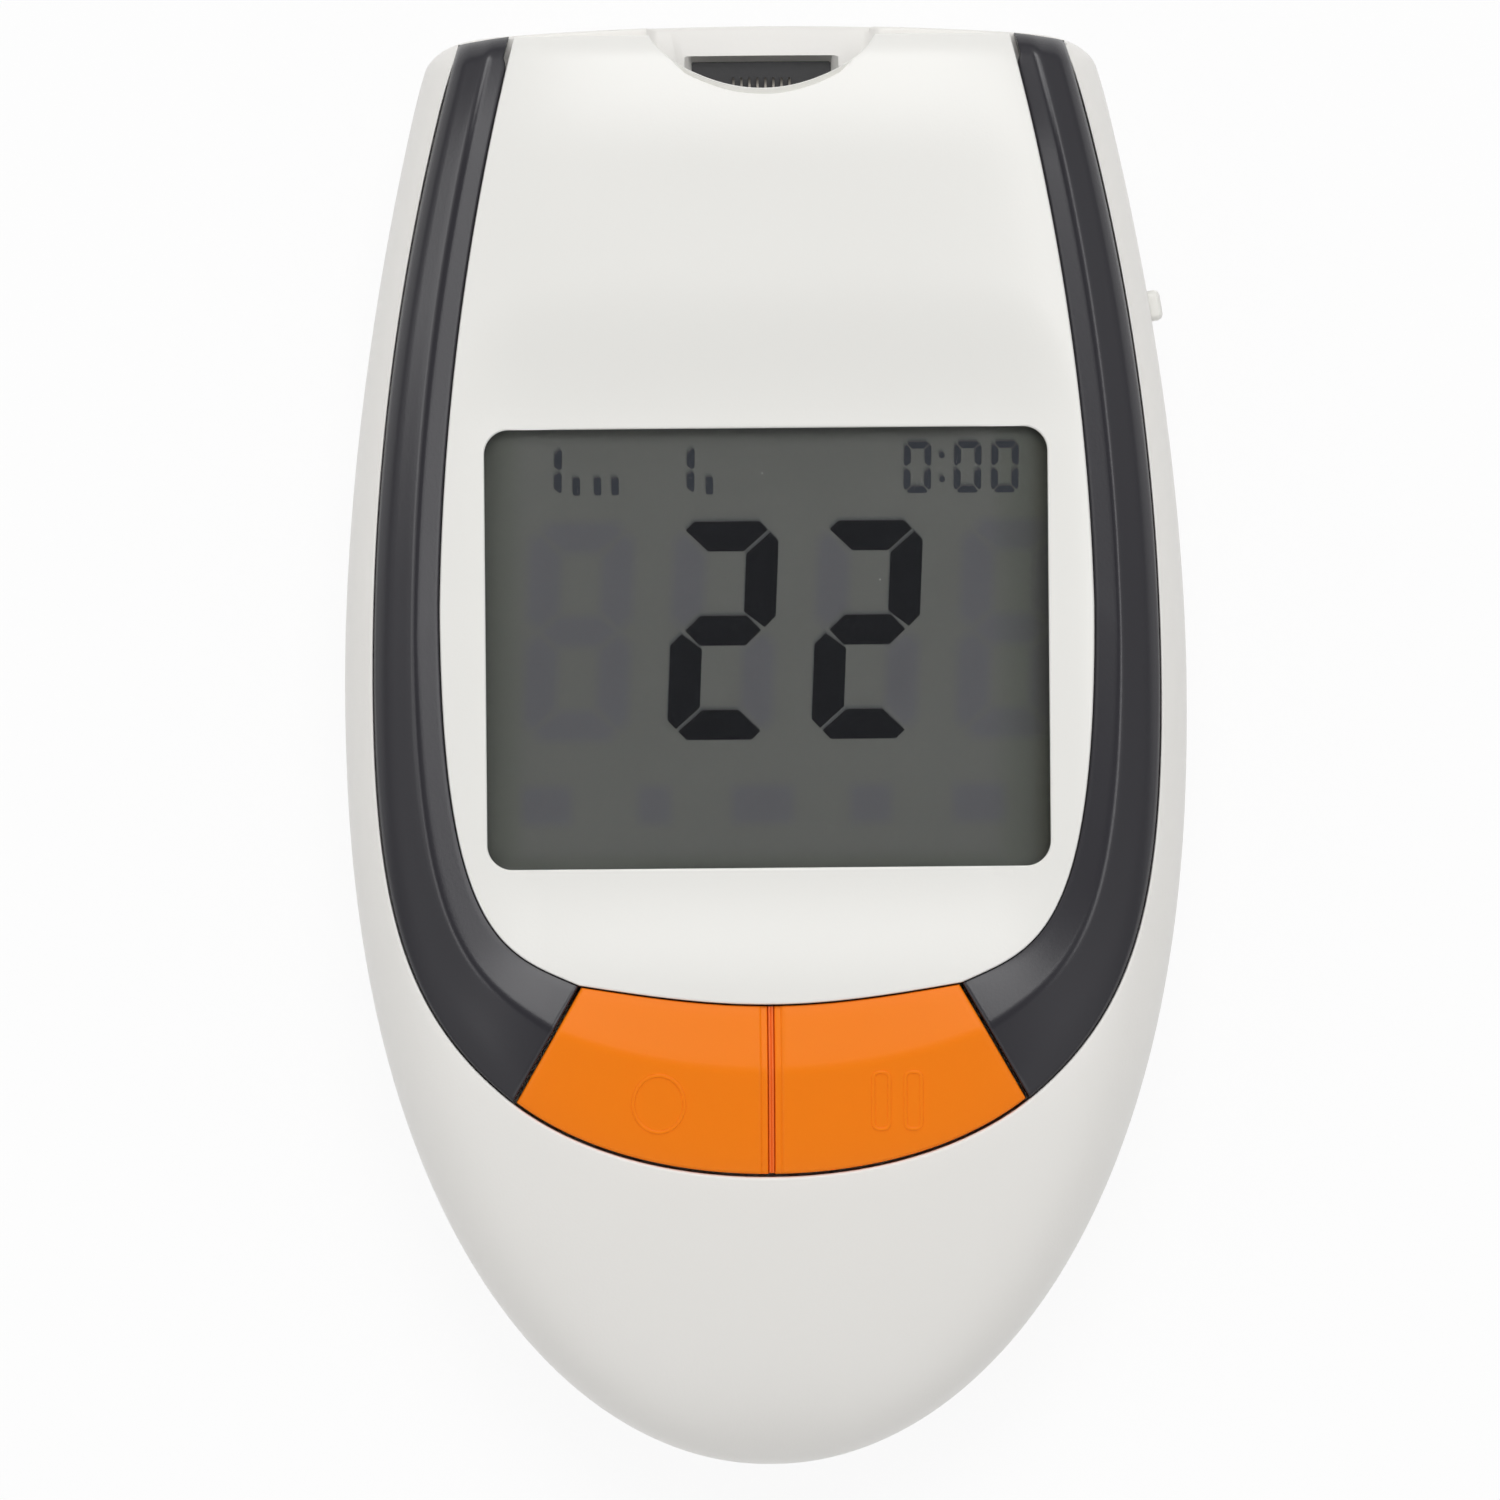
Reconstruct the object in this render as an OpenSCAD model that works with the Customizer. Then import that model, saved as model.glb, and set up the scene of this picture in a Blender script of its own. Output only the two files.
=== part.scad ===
// Blood glucose meter, handheld, lying on its back with the display up.
// +Z is up through the display, +Y runs to the strip port and +X is the user's right.
// The origin is the middle of the case at the level of the flat it rests on.
// Two lofted shells hold a board, a display, two cells and a strip connector. A lid made of a
// white panel, two creased dark trims and two orange keys fills a U-shaped tray in the front shell.

/* [Case] */
// Length of the case, from the nose to the strip end
case_l = 99; // [98:0.5:103]
// Width of the case at its widest
case_w = 58; // [57.5:0.5:62]
// Width of the case at the strip end
end_w = 45; // [44.5:0.5:47]
// Height of the parting line between the two shells
parting_z = 8.5; // [8:0.1:9.2]
// Wall of the two shells
wall = 1.8; // [1.5:0.1:2]
// Radius of the edges round the strip end
end_r = 2.5; // [2:0.1:3]

/* [Lid] */
// White rim left between the case's side and the trims
rim_w = 2; // [1.6:0.1:2.2]
// Width of a trim at the widest point of the case
trim_w = 4.6; // [4.5:0.1:5]
// Height of the crease over the crown of the case
crease_h = 0.7; // [0.4:0.1:1]
// Drop of a trim's inner edge below the panel
trim_drop = 0.35; // [0.2:0.05:0.5]
// Thickness of the panel
panel_t = 1.4; // [1.2:0.1:1.6]
// Width of the panel's skirt
skirt_w = 1; // [0.8:0.1:1.1]
// Height of the lid over its deck, at the crown
lid_h = 5.2; // [5:0.1:6]
// Thickness of the deck under the lid
deck_t = 1.2; // [1:0.1:1.3]

/* [Display] */
// Panel left beside the window, at the widest point
window_side = 3; // [3:0.1:5]
// Length of the window
window_l = 30.2; // [28:0.2:31]
// Distance of the window's centre from the middle of the case
window_y = 6.9; // [6.5:0.1:7.5]
// Corner radius of the window
window_r = 1.7; // [1:0.1:2.5]
// Thickness of the clear lens
lens_t = 0.9; // [0.7:0.1:1]
// Thickness of the display glass
glass_t = 1.8; // [1.6:0.1:2]

/* [Keys] */
// Distance of the keys' upper arc from the middle of the case
key_top = 17.6; // [17.4:0.1:18]
// Distance of the keys' lower arc from the middle of the case
key_low = 29.4; // [29:0.1:30]
// Gap between the two keys
key_gap = 0.4; // [0.3:0.05:0.6]
// Clearance round a key
key_clear = 0.25; // [0.2:0.05:0.35]
// Turn of a key when it is pressed, in degrees
press_deg = 2.2; // [1.8:0.1:2.5]
// Distance of a key's switch from the centre line
switch_x = 8.5; // [8:0.1:9.5]
// Side of a switch
switch_w = 6; // [5.5:0.1:6.2]

/* [Strip port] */
// Width of the strip slot
port_w = 10.6; // [10:0.1:11]
// Length of the slot in the deck
port_l = 4.2; // [4:0.1:4.5]
// Width of the scallop in the panel
scallop_w = 15.5; // [14:0.5:16]
// Depth of the scallop, from the panel's end
scallop_d = 3.9; // [3.7:0.1:4.2]
// Number of contacts that read the strip
contact_n = 8; // [6:1:9]
// Spacing of the contacts
contact_pitch = 0.55; // [0.5:0.05:0.6]

/* [Strip ejector] */
// Distance of the ejector's thumb ridge from the strip end
eject_from_end = 19.3; // [18.8:0.1:20.4]
// Travel of the ejector
eject_travel = 3.5; // [2.5:0.1:3.6]
// Length of the thumb ridge along the side
ridge_l = 2.1; // [1.8:0.1:2.6]
// How far the ridge stands out of the side
ridge_out = 0.9; // [0.6:0.1:1.2]

/* [Cells] */
// Diameter of a cell
cell_d = 10.5; // [10.2:0.1:10.5]
// Length of a cell with its nub
cell_l = 44.5; // [44:0.1:44.5]
// Length of a pressed battery spring
spring_l = 3.1; // [2.8:0.1:3.2]
// Distance of the compartment's strip end from the middle of the case
cell_bay_end = 16.2; // [16:0.1:16.6]
// Thickness of the battery door
door_t = 1; // [0.9:0.1:1.2]

/* [Board] */
// Thickness of the circuit board
board_t = 1; // [0.8:0.1:1.1]
// Distance from the panel's edge in to the board's edge
board_side = 2.8; // [2.5:0.1:3.5]
// Air between the board and the deck
board_gap = 0.4; // [0.4:0.1:1]

/* [Screws] */
// Shank radius of a case screw
screw_r = 0.9; // [0.8:0.05:1]
// Head radius of a case screw
head_r = 1.8; // [1.6:0.1:1.9]
// Wall of a screw boss
boss_wall = 1.7; // [1.5:0.1:1.8]

/* [Fits] */
// Clearance between two pieces that are fixed side by side
seam = 0.1; // [0.08:0.01:0.15]
// Clearance round a piece that slides or turns
slip = 0.2; // [0.15:0.05:0.25]

/* [Hidden] */
$fn = 48;
hl = case_l / 2;
hw = case_w / 2;
widest_y = 4;              // the widest point, towards the strip end from the middle
nose_from = -2;            // where the crown starts to fall to the nose
end_from = 40;             // where the crown starts to fall to the strip end
end_drop = 1.6;            // how far it falls there
nose_power = 2.3;          // fullness of the nose seen from above
crown_power = 2.2;         // fullness of the nose seen from the side
side_power = 4;            // squareness of the upper half of a section
draw_power = 1.84;         // how late the sides draw in to the strip end
flat_share = 0.6;          // share of the underside that is flat across

// Heights, from the table up
door_gap = 0.15;           // the door's outer face lies inside the flat
door_top = door_gap + door_t;
cell_z = door_top + slip + cell_d / 2;
bay_roof = cell_z + cell_d / 2 + seam;
bay_roof_t = 0.8;
board_z = bay_roof + bay_roof_t + 0.05;
board_top = board_z + board_t;
deck_z = board_top + board_gap + deck_t;
case_h = deck_z + lid_h;
lens_top = case_h - 1.5;
glass_top = lens_top - lens_t - seam;
glass_z = glass_top - glass_t;

// Outline of the trims and keys, right half
x_out = hw - rim_w;
x_in = x_out - trim_w;
panel_end = hl - 0.4;      // end of the panel, just short of the case's end
cut_in = [x_in - 9.3, 1.4 - key_top];      // inner end of the cut between trim and key
cut_out = [x_out - 9.3, 5.2 - key_low];    // outer end of that cut
window_w = 2 * (x_in - window_side);
board_half = x_in - board_side;
eject_y = hl - eject_from_end;
crease_share = 0.38;       // place of the crease across a trim or key
end_round = 1.6;           // radius over the trims' ends

// Screws and pillars
case_screws = [[hw - 9.5, -22], [end_w / 2 - 4.5, hl - 8.5]];
boss_r = screw_r + boss_wall;
head_floor = 2.6;          // height of the seat under a case screw's head
pillar_r = 2;
board_screw_r = 0.7;
board_head_h = 0.8;
thread_gap = 0.03;         // between a screw's shank and the hole that it bites in

// Cell bay and door
bay_half = cell_d + 0.3;
plate_t = 0.4;
bay_start = cell_bay_end - cell_l - spring_l - 2 * plate_t;
bay_wall = 1.5;
door_half = bay_half + bay_wall;
door_start = bay_start - 0.8;
heel_l = hl + door_start - 1;      // length of the rise under the nose
// Two of the board's screws stand beside the bay, and two between the ejector's arm and the end
board_screws = [[bay_half + bay_wall + pillar_r + 0.9, 3.6 - key_top],
                [case_screws[1][0] - boss_r - pillar_r - 0.4, eject_y + 6.8]];
door_hinge = [cell_bay_end + 0.2, door_gap + door_t / 2];
pin_r = 0.4;
pin_l = 0.8;

// Switches
switch_y = -(key_top + key_low) / 2 + 1;
switch_h = 1.2;
plunger_r = 1.2;
plunger_top = board_top + switch_h + 0.4;
switch_floor = 0.15;
plunger_travel = switch_x * sin(press_deg);
key_z = deck_z + cut_out[0] * sin(press_deg) + 0.4;      // underside of the keys

// ---- The form of the case ----

// Half width at y of the case drawn in by i, with square corners at the strip end
function full_half(y, i) = y < widest_y
    ? (hw - i) * sqrt(1 - pow(min(0.9993, (widest_y - y) / (widest_y + hl - i)), nose_power))
    : (hw - i) - (hw - end_w / 2) * pow((y - widest_y) / (hl - widest_y), draw_power);

// How far the rounding of the strip end takes the outline in at y
function end_fillet(y, i) = let (d = y - (hl - i - end_r))
    d <= 0 ? 0 : end_r - sqrt(max(0, end_r * end_r - d * d));

// Height of the crown at y
function crown(y, i) = y < nose_from
    ? parting_z + (case_h - i - parting_z)
        * pow(1 - pow(min(0.9993, (nose_from - y) / (nose_from + hl - i)), crown_power), 1 / crown_power)
    : case_h - i - (y < end_from ? 0 : end_drop * pow((y - end_from) / (hl - end_from), 2));

// Height of the underside at y
function keel(y, i) = let (d = heel_l - i - (y + hl - i))
    d <= 0 ? i : parting_z - (parting_z - i) * sqrt(max(0.0005, 1 - pow(d / (heel_l - i), 2)));

// Height of the skin of the case over the point p
function skin_z(p) = let (s = min(0.999, abs(p[0]) / full_half(p[1], 0)))
    parting_z + (crown(p[1], 0) - parting_z) * pow(1 - pow(s, side_power), 1 / side_power);

// Places of the sections from the strip end to the nose: close together round both ends
function stations(i) = concat(
    [for (k = [4:-1:0]) hl - i - end_r + end_r * sin(90 * k / 4)],
    [for (k = [7:-1:0]) widest_y + (hl - i - end_r - widest_y) * k / 8],
    [for (k = [1:12]) widest_y - (widest_y + hl - i) * sin(90 * k / 12)]);

// Upper half of a section, closed by a straight base at base_z
function crown_section(y, i, base_z, n) = let (
        w = full_half(y, i) - end_fillet(y, i),
        h = crown(y, i) - 0.8 * end_fillet(y, i) - parting_z)
    concat([[w, y, base_z]],
        [for (k = [0:n]) let (a = 180 * k / n, c = cos(a))
            [w * sign(c) * pow(abs(c), 2 / side_power), y, parting_z + h * pow(abs(sin(a)), 2 / side_power)]],
        [[-w, y, base_z]]);

// Lower half of a section, closed by a straight top at top_z
function tub_section(y, i, top_z, n) = let (
        w = full_half(y, i) - end_fillet(y, i),
        h = parting_z - keel(y, i) - 0.8 * end_fillet(y, i),
        left = [for (k = [0:n]) let (a = 90 * k / n)
            [-w * (flat_share + (1 - flat_share) * cos(a)), y, parting_z - h * sin(a)]])
    concat([[-w, y, top_z]], left,
        [for (k = [n:-1:0]) [-left[k][0], y, left[k][2]]],
        [[w, y, top_z]]);

// Solid skin over a row of sections that all have the same number of points
module loft(sections) {
    n = len(sections[0]);
    last = len(sections) - 1;
    polyhedron(
        points = [for (s = sections) for (p = s) p],
        faces = concat(
            [for (i = [0:last - 1]) for (j = [0:n - 1]) let (a = i * n + j, b = i * n + (j + 1) % n)
                each [[a, b + n, b], [a, a + n, b + n]]],
            [[for (j = [0:n - 1]) j]],
            [[for (j = [n - 1:-1:0]) last * n + j]]));
}

// Upper half of the case drawn in by i. With a base below the parting line it hollows the shell.
module crown_form(i, base_z, n = 20) {
    loft([for (y = stations(i)) crown_section(y, i, base_z, n)]);
}

// Lower half of the case drawn in by i
module tub_form(i, top_z, n = 6) {
    loft([for (y = stations(i)) tub_section(y, i, top_z, n)]);
}

// ---- The U of trims and keys ----

function bezier3(a, b, c, t) = a * (1 - t) * (1 - t) + b * 2 * t * (1 - t) + c * t * t;
function bezier4(a, b, c, d, t) = bezier3(a, b, c, t) * (1 - t) + bezier3(b, c, d, t) * t;

// Outer edge: down the side, round the corner to the cut, and along the keys
function out_side(t) = bezier3([x_out - 6.3, hl - 0.7], [x_out, hl / 2 + 2], [x_out, widest_y], t);
function out_corner(t) = bezier4([x_out, widest_y], [x_out, widest_y - 15],
    [x_out - 2, cut_out[1] + 5.9], cut_out, t);
function out_key(t) = bezier4(cut_out, cut_out + [-4.6, -3.6], [6.5, -key_low], [0, -key_low], t);

// Inner edge, with the same three stretches
function in_side(t) = bezier3([x_in - 5.6, hl - 0.1], [x_in - 0.4, hl - 20.3], [x_in, widest_y + 5.5], t);
function in_corner(t) = bezier4([x_in, widest_y + 5.5], [x_in, widest_y - 17.5],
    [x_in - 4.4, cut_in[1] + 2.2], cut_in, t);
function in_key(t) = bezier4(cut_in, cut_in + [-4.3, -0.7], [4.5, -key_top], [0, -key_top], t);

side_t = [for (k = [0:10]) pow(k / 10, 1.7)];
corner_t = [for (k = [1:8]) k / 8];
key_t = [for (k = [0:8]) k / 8];

trim_in = concat([for (t = side_t) in_side(t)], [for (t = corner_t) in_corner(t)]);
trim_out = concat([for (t = side_t) out_side(t)], [for (t = corner_t) out_corner(t)]);
key_in = [for (t = key_t) in_key(t)];
key_out = [for (t = key_t) out_key(t)];
u_in = concat(trim_in, [for (k = [1:8]) key_in[k]]);
u_out = concat(trim_out, [for (k = [1:8]) key_out[k]]);

function across(k) = (u_out[k] - u_in[k]) / norm(u_out[k] - u_in[k]);

// Closed outline of the whole tray, let out by g
function tray_outline(g) = let (
        right = [for (k = [0:len(u_out) - 1]) u_out[k] + across(k) * g],
        top = [right[0][0] - 0.1, hl + 2])
    concat([top], right, [for (k = [len(right) - 2:-1:0]) [-right[k][0], right[k][1]]], [[-top[0], top[1]]]);

// Closed outline of the panel, taken in by g
function panel_outline(g) = let (
        right = [for (k = [0:len(u_in) - 1]) u_in[k] - across(k) * g],
        top = [right[0][0] + 0.4, hl + 2])
    concat([top], right, [for (k = [len(right) - 2:-1:0]) [-right[k][0], right[k][1]]], [[-top[0], top[1]]]);

// Fall of a trim as it rounds over the end
function over_end(y) = let (d = y - (hl - 0.1 - end_round))
    d <= 0 ? 0 : end_round - sqrt(max(0, end_round * end_round - d * d));

// One profile across the U: inner face, crease and outer face over a flat base
function u_profile(p, q, base_z, g) = let (
        dir = (q - p) / norm(q - p),
        a = p + dir * g,
        b = q - dir * g,
        c = p + (q - p) * crease_share)
    [[a[0], a[1], base_z],
     [a[0], a[1], skin_z(p) - trim_drop - over_end(p[1])],
     [c[0], c[1], skin_z(c) + crease_h - over_end(c[1])],
     [b[0], b[1], skin_z(q) - over_end(q[1])],
     [b[0], b[1], base_z]];

// A stretch of the U with its crease, between the edges ins and outs
module u_stretch(ins, outs, base_z, g) {
    loft([for (k = [len(ins) - 1:-1:0]) u_profile(ins[k], outs[k], base_z, g)]);
}

module plate(points, z0, z1) {
    translate([0, 0, z0]) linear_extrude(z1 - z0) polygon(points);
}

// A bar from z0 to z1 with round corners in plan
module rounded_bar(w, l, r, z0, z1, cy = 0) {
    translate([0, cy, z0]) linear_extrude(z1 - z0) {
        square([w - 2 * r, l], center = true);
        square([w, l - 2 * r], center = true);
        for (x = [-1, 1], y = [-1, 1]) translate([x * (w / 2 - r), y * (l / 2 - r)]) circle(r);
    }
}

module both_sides(points) {
    for (p = points, s = [-1, 1]) translate([s * p[0], p[1], 0]) children();
}

// ---- Shells ----

// The side at the ejector: its place, and its turn from +Y
eject_x = full_half(eject_y, 0);
eject_turn = atan((full_half(eject_y - 1, 0) - full_half(eject_y + 1, 0)) / 2);
module at_ejector() {
    translate([eject_x, eject_y, parting_z]) rotate(eject_turn) children();
}

// Slot in the side that the thumb ridge runs in, half in each shell
slot_h = 2.5;
module ejector_slot() {
    at_ejector() translate([-wall - 1, -ridge_l / 2 - slip, -slot_h / 2])
        cube([wall + 3, ridge_l + eject_travel + 2 * slip, slot_h]);
}

module front_housing() {
    color("#e9e8e3") difference() {
        union() {
            difference() {
                crown_form(0, parting_z);
                crown_form(wall, parting_z - 1, 14);
            }
            intersection() {
                crown_form(0.3, parting_z + 0.3, 14);
                union() {
                    difference() {
                        plate(tray_outline(1.2), deck_z - deck_t, case_h);
                        plate(panel_outline(skirt_w + 1), deck_z - deck_t - 1, case_h + 1);
                    }
                    end_plate();
                    both_sides(case_screws) translate([0, 0, parting_z + 0.3])
                        cylinder(h = deck_z - deck_t - parting_z, r = boss_r);
                }
            }
        }
        plate(tray_outline(0), deck_z, case_h + 3);
        translate([-port_w / 2, port_end - port_l - 1, deck_z - deck_t - 1]) cube([port_w, port_l + 1, deck_t + 2]);
        switch_windows();
        both_sides(case_screws) translate([0, 0, parting_z - 1])
            cylinder(h = deck_z - deck_t - parting_z, r = screw_r + thread_gap);
        // pockets over the heads of the board's screws, and room for the display's frame
        both_sides(board_screws) translate([0, 0, board_top]) cylinder(h = board_head_h + slip, r = 1.5 + slip);
        rounded_bar(frame_w + 2 * slip, frame_l + 2 * slip, frame_r, deck_z - deck_t - 1, deck_z + 1, window_y);
        ejector_slot();
    }
}

// The strip end of the deck, which the strip slides over
port_end = hl - 1.75;
end_plate_from = port_end - port_l;
module end_plate() {
    translate([-x_in, end_plate_from, deck_z - deck_t])
        cube([2 * x_in, hl - end_plate_from, deck_t]);
}

module switch_windows() {
    both_sides([[switch_x, switch_y]]) translate([0, 0, deck_z - deck_t / 2])
        cube([switch_w + 1, switch_w + 1, deck_t + 1], center = true);
}

module rear_housing() {
    color("#e6e5e0") difference() {
        union() {
            difference() {
                tub_form(0, parting_z);
                tub_form(wall, parting_z + 1);
            }
            intersection() {
                tub_form(0.3, board_z);
                union() {
                    translate([-bay_half - bay_wall, bay_start - bay_wall, 0])
                        cube([2 * (bay_half + bay_wall), cell_bay_end - bay_start + 2 * bay_wall,
                              bay_roof + bay_roof_t]);
                    both_sides(case_screws) cylinder(h = parting_z, r = boss_r);
                    both_sides(board_screws) cylinder(h = board_z, r = pillar_r);
                    ejector_guide();
                }
            }
        }
        translate([-bay_half, bay_start, -1]) cube([2 * bay_half, cell_bay_end - bay_start, bay_roof + 1]);
        door_recess();
        both_sides(case_screws) {
            translate([0, 0, -1]) cylinder(h = head_floor + 1, r = head_r + slip);
            cylinder(h = parting_z + 1, r = screw_r + 0.1);
        }
        both_sides(board_screws) translate([0, 0, board_z - 5]) cylinder(h = 6, r = board_screw_r + thread_gap);
        ejector_slot();
    }
}

// Seat of the door, the sockets of its pins and a notch for a finger nail
module door_recess() {
    y0 = door_start - slip;
    y1 = door_hinge[0] + door_t / 2 + slip;
    translate([-door_half - slip, y0, -1]) cube([2 * (door_half + slip), y1 - y0, 1 + door_top + slip]);
    translate([-door_half - pin_l - slip, door_hinge[0], door_hinge[1]]) rotate([0, 90, 0])
        cylinder(h = 2 * (door_half + pin_l + slip), r = pin_r + 0.05);
    translate([0, y0, -1]) cylinder(h = 1 + door_top, r = 4);
}

// Channel that carries the slide of the ejector
slide_t = 1.2;
slide_gap = 0.7;
slide_in = wall + slide_gap + slide_t;
slide_l = 6;
slide_z = parting_z - 1.3;
module ejector_guide() {
    at_ejector() {
        translate([-slide_in - 1.2, -slide_l / 2 - 1, -parting_z])
            cube([slide_t + 1.4, slide_l + eject_travel + 2, slide_z - slip]);
        translate([-slide_in - 1.2, -slide_l / 2 - 1, -parting_z])
            cube([1, slide_l + eject_travel + 2, slide_z + 1.2]);
    }
}

module ejector_slider() {
    arm_z0 = board_z - 3.2;
    arm_z1 = board_z - 1.2;
    color("#dcdbd6") {
        at_ejector() {
            // thumb ridge and its neck through the side
            translate([-slide_in + 0.5, -ridge_l / 2, -slot_h / 2 + slip])
                cube([slide_in - 0.5 + ridge_out, ridge_l, slot_h - 2 * slip]);
            // slide along the inside of the wall
            translate([-slide_in, -slide_l / 2, slide_z - parting_z])
                cube([slide_t, slide_l, arm_z1 - slide_z]);
        }
        // arm across to the middle, and the finger that pushes the strip
        translate([-1.2, eject_y - 1.4, arm_z0])
            cube([eject_x - slide_in + 1.8, 2, arm_z1 - arm_z0]);
        translate([-1.2, eject_y - 1.4 + 0.4, arm_z0]) cube([2.4, 1.6, glass_z + 0.1 - arm_z0]);
    }
}

// ---- Lid ----

function scallop_y(x) = let (s = min(1, abs(x) / (scallop_w / 2)))
    panel_end - scallop_d * (1 - 0.83 * s * s - 0.17 * pow(s, 12));
scallop = concat([for (k = [-12:12]) let (x = scallop_w / 2 * sin(90 * k / 12)) [x, scallop_y(x)]],
    [[scallop_w / 2 + 0.2, hl + 2], [-scallop_w / 2 - 0.2, hl + 2]]);

lens_w = window_w + 1;
lens_l = window_l + 1.2;

module centre_panel() {
    color("#ecebe6") difference() {
        intersection() {
            union() {
                difference() {
                    crown_form(0, deck_z - 2);
                    crown_form(panel_t, deck_z - 3, 14);
                }
                intersection() {
                    crown_form(0.3, deck_z - 2, 14);
                    union() {
                        rounded_bar(lens_w + 1.6, lens_l + 2.4, window_r + 1, lens_top + 0.05, case_h, window_y);
                        difference() {
                            plate(panel_outline(seam), deck_z, case_h);
                            plate(panel_outline(seam + skirt_w), deck_z - 1, case_h + 1);
                        }
                    }
                }
            }
            plate(panel_outline(seam), deck_z, case_h + 1);
            translate([-hw, -hl, 0]) cube([case_w, hl + panel_end, case_h + 1]);
        }
        rounded_bar(window_w, window_l, window_r, deck_z, case_h + 1, window_y);
        rounded_bar(lens_w + 2 * seam, lens_l + 2 * seam, window_r + 0.4, deck_z - 1, lens_top + 0.05, window_y);
        plate(scallop, deck_z - 1, case_h + 2);
    }
}

module trim_right() {
    color("#403f43") u_stretch(trim_in, trim_out, deck_z, seam);
}

module trim_left() {
    mirror([1, 0, 0]) trim_right();
}

// Right half of the pair of keys, with the stem that presses its switch
module key() {
    color("#ee7a22") {
        difference() {
            u_stretch(key_in, key_out, key_z, key_clear);
            translate([-1, -key_low - 5, 0]) cube([1 + key_gap / 2, key_low, case_h + 3]);
            cut_gap();
        }
        translate([switch_x, switch_y, plunger_top]) cylinder(h = key_z + 0.5 - plunger_top, r = 1.6);
    }
}

// Gap that frees the key from the end of the trim
module cut_gap() {
    dir = (cut_out - cut_in) / norm(cut_out - cut_in);
    side = [-dir[1], dir[0]];
    a = cut_in - dir * 3;
    b = cut_out + dir * 3;
    plate([a - side * key_clear, b - side * key_clear, b + side * 4, a + side * 4], deck_z - 1, case_h + 2);
}

module memory_button() {
    key();
}

module set_button() {
    mirror([1, 0, 0]) key();
}

// Soft bridge under the gap between the keys, on which they bend
module button_web() {
    color("#dc6a1a") translate([-1.4, -key_low + 1, deck_z]) cube([2.8, key_low - key_top - 2, 0.9]);
}

// ---- Display ----

module display_lens() {
    color("#d8dcdc", 0.35) rounded_bar(lens_w, lens_l, window_r + 0.3, lens_top - lens_t, lens_top, window_y);
}

module lcd_glass() {
    color("#5a5c59") rounded_bar(frame_w, frame_l, frame_r, glass_z, glass_top, window_y);
}

frame_w = window_w + 0.6;
frame_l = window_l + 1.2;
frame_r = 1.5;
zebra_l = frame_w - 6;
zebra_t = 2;
module lcd_frame() {
    h = glass_z - board_top;
    color("#3a3b3d") difference() {
        rounded_bar(frame_w, frame_l, frame_r, board_top, glass_z, window_y);
        translate([0, window_y, board_top + h / 2]) {
            cube([frame_w - 3, frame_l - 9, h + 1], center = true);
            for (s = [-1, 1]) translate([0, s * (frame_l / 2 - 2.2), 0])
                cube([zebra_l + 2 * seam, zebra_t + 2 * seam, h + 1], center = true);
        }
    }
}

module lcd_connector() {
    h = glass_z - board_top;
    color("#c9c4bb") for (s = [-1, 1])
        translate([0, window_y + s * (frame_l / 2 - 2.2), board_top + h / 2])
            cube([zebra_l, zebra_t, h], center = true);
}

// ---- Board and what sits on it ----

board_low = -key_low + 2;
board_high = hl - 3;
board_neck = case_screws[0][0] - boss_r - slip;
board_top_half = case_screws[1][0] - boss_r - slip;
module circuit_board() {
    half = [[board_top_half, board_high], [board_top_half, case_screws[1][1] - boss_r - slip],
            [board_half - 2, case_screws[1][1] - boss_r - 1], [board_half, eject_y],
            [board_half, case_screws[0][1] + boss_r + 1], [board_neck, case_screws[0][1] + boss_r],
            [board_neck, board_low]];
    color("#1f6b3c") difference() {
        plate(concat(half, [for (k = [len(half) - 1:-1:0]) [-half[k][0], half[k][1]]]), board_z, board_top);
        both_sides(board_screws) translate([0, 0, board_z - 1]) cylinder(h = board_t + 2, r = board_screw_r + 0.1);
        // opening that the ejector's finger moves in
        translate([-2.2, eject_y - 1.4, board_z - 1]) cube([3.8, eject_travel + 2.6, board_t + 2]);
    }
}

// Components under the display glass: place from the window's centre, width, length and height
chips = [[0, 0, 10, 10, 1.2], [-11.5, -6, 5, 6, 1], [12, 8, 6, 4, 1], [-11.4, 7, 3.2, 1.6, 0.8], [10.6, -9, 3.2, 1.6, 0.8]];
capacitor = [11, -2.9, 2, 1.6];
module board_chips() {
    color("#232326") {
        for (c = chips) translate([c[0] - c[2] / 2, window_y + c[1] - c[3] / 2, board_top]) cube([c[2], c[3], c[4]]);
        translate([capacitor[0], window_y + capacitor[1], board_top]) cylinder(h = capacitor[3], r = capacitor[2]);
    }
}

// Round sounder under the board, with its sound hole facing down
buzzer_r = 4.6;
buzzer_h = 3;
buzzer_from_edge = 7;
buzzer_from_bay = 2.7;
module buzzer() {
    x = board_half - buzzer_from_edge - buzzer_r;
    y = cell_bay_end + bay_wall + buzzer_from_bay + buzzer_r;
    color("#2b2b2e") translate([-x, y, board_z - buzzer_h]) difference() {
        cylinder(h = buzzer_h, r = buzzer_r);
        translate([0, 0, -1]) cylinder(h = 1.6, r = 0.8);
    }
}

module switch_bodies() {
    color("#2a2a2c") both_sides([[switch_x, switch_y]]) difference() {
        translate([-switch_w / 2, -switch_w / 2, board_top]) cube([switch_w, switch_w, switch_h]);
        translate([0, 0, board_top + switch_floor]) cylinder(h = switch_h, r = plunger_r + 0.25);
    }
}

module plunger() {
    low = board_top + switch_floor + plunger_travel + 0.1;
    color("#c8c6c0") translate([switch_x, switch_y, low]) cylinder(h = plunger_top - 0.02 - low, r = plunger_r);
}

module memory_plunger() {
    plunger();
}

module set_plunger() {
    mirror([1, 0, 0]) plunger();
}

// ---- Strip connector ----

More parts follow.
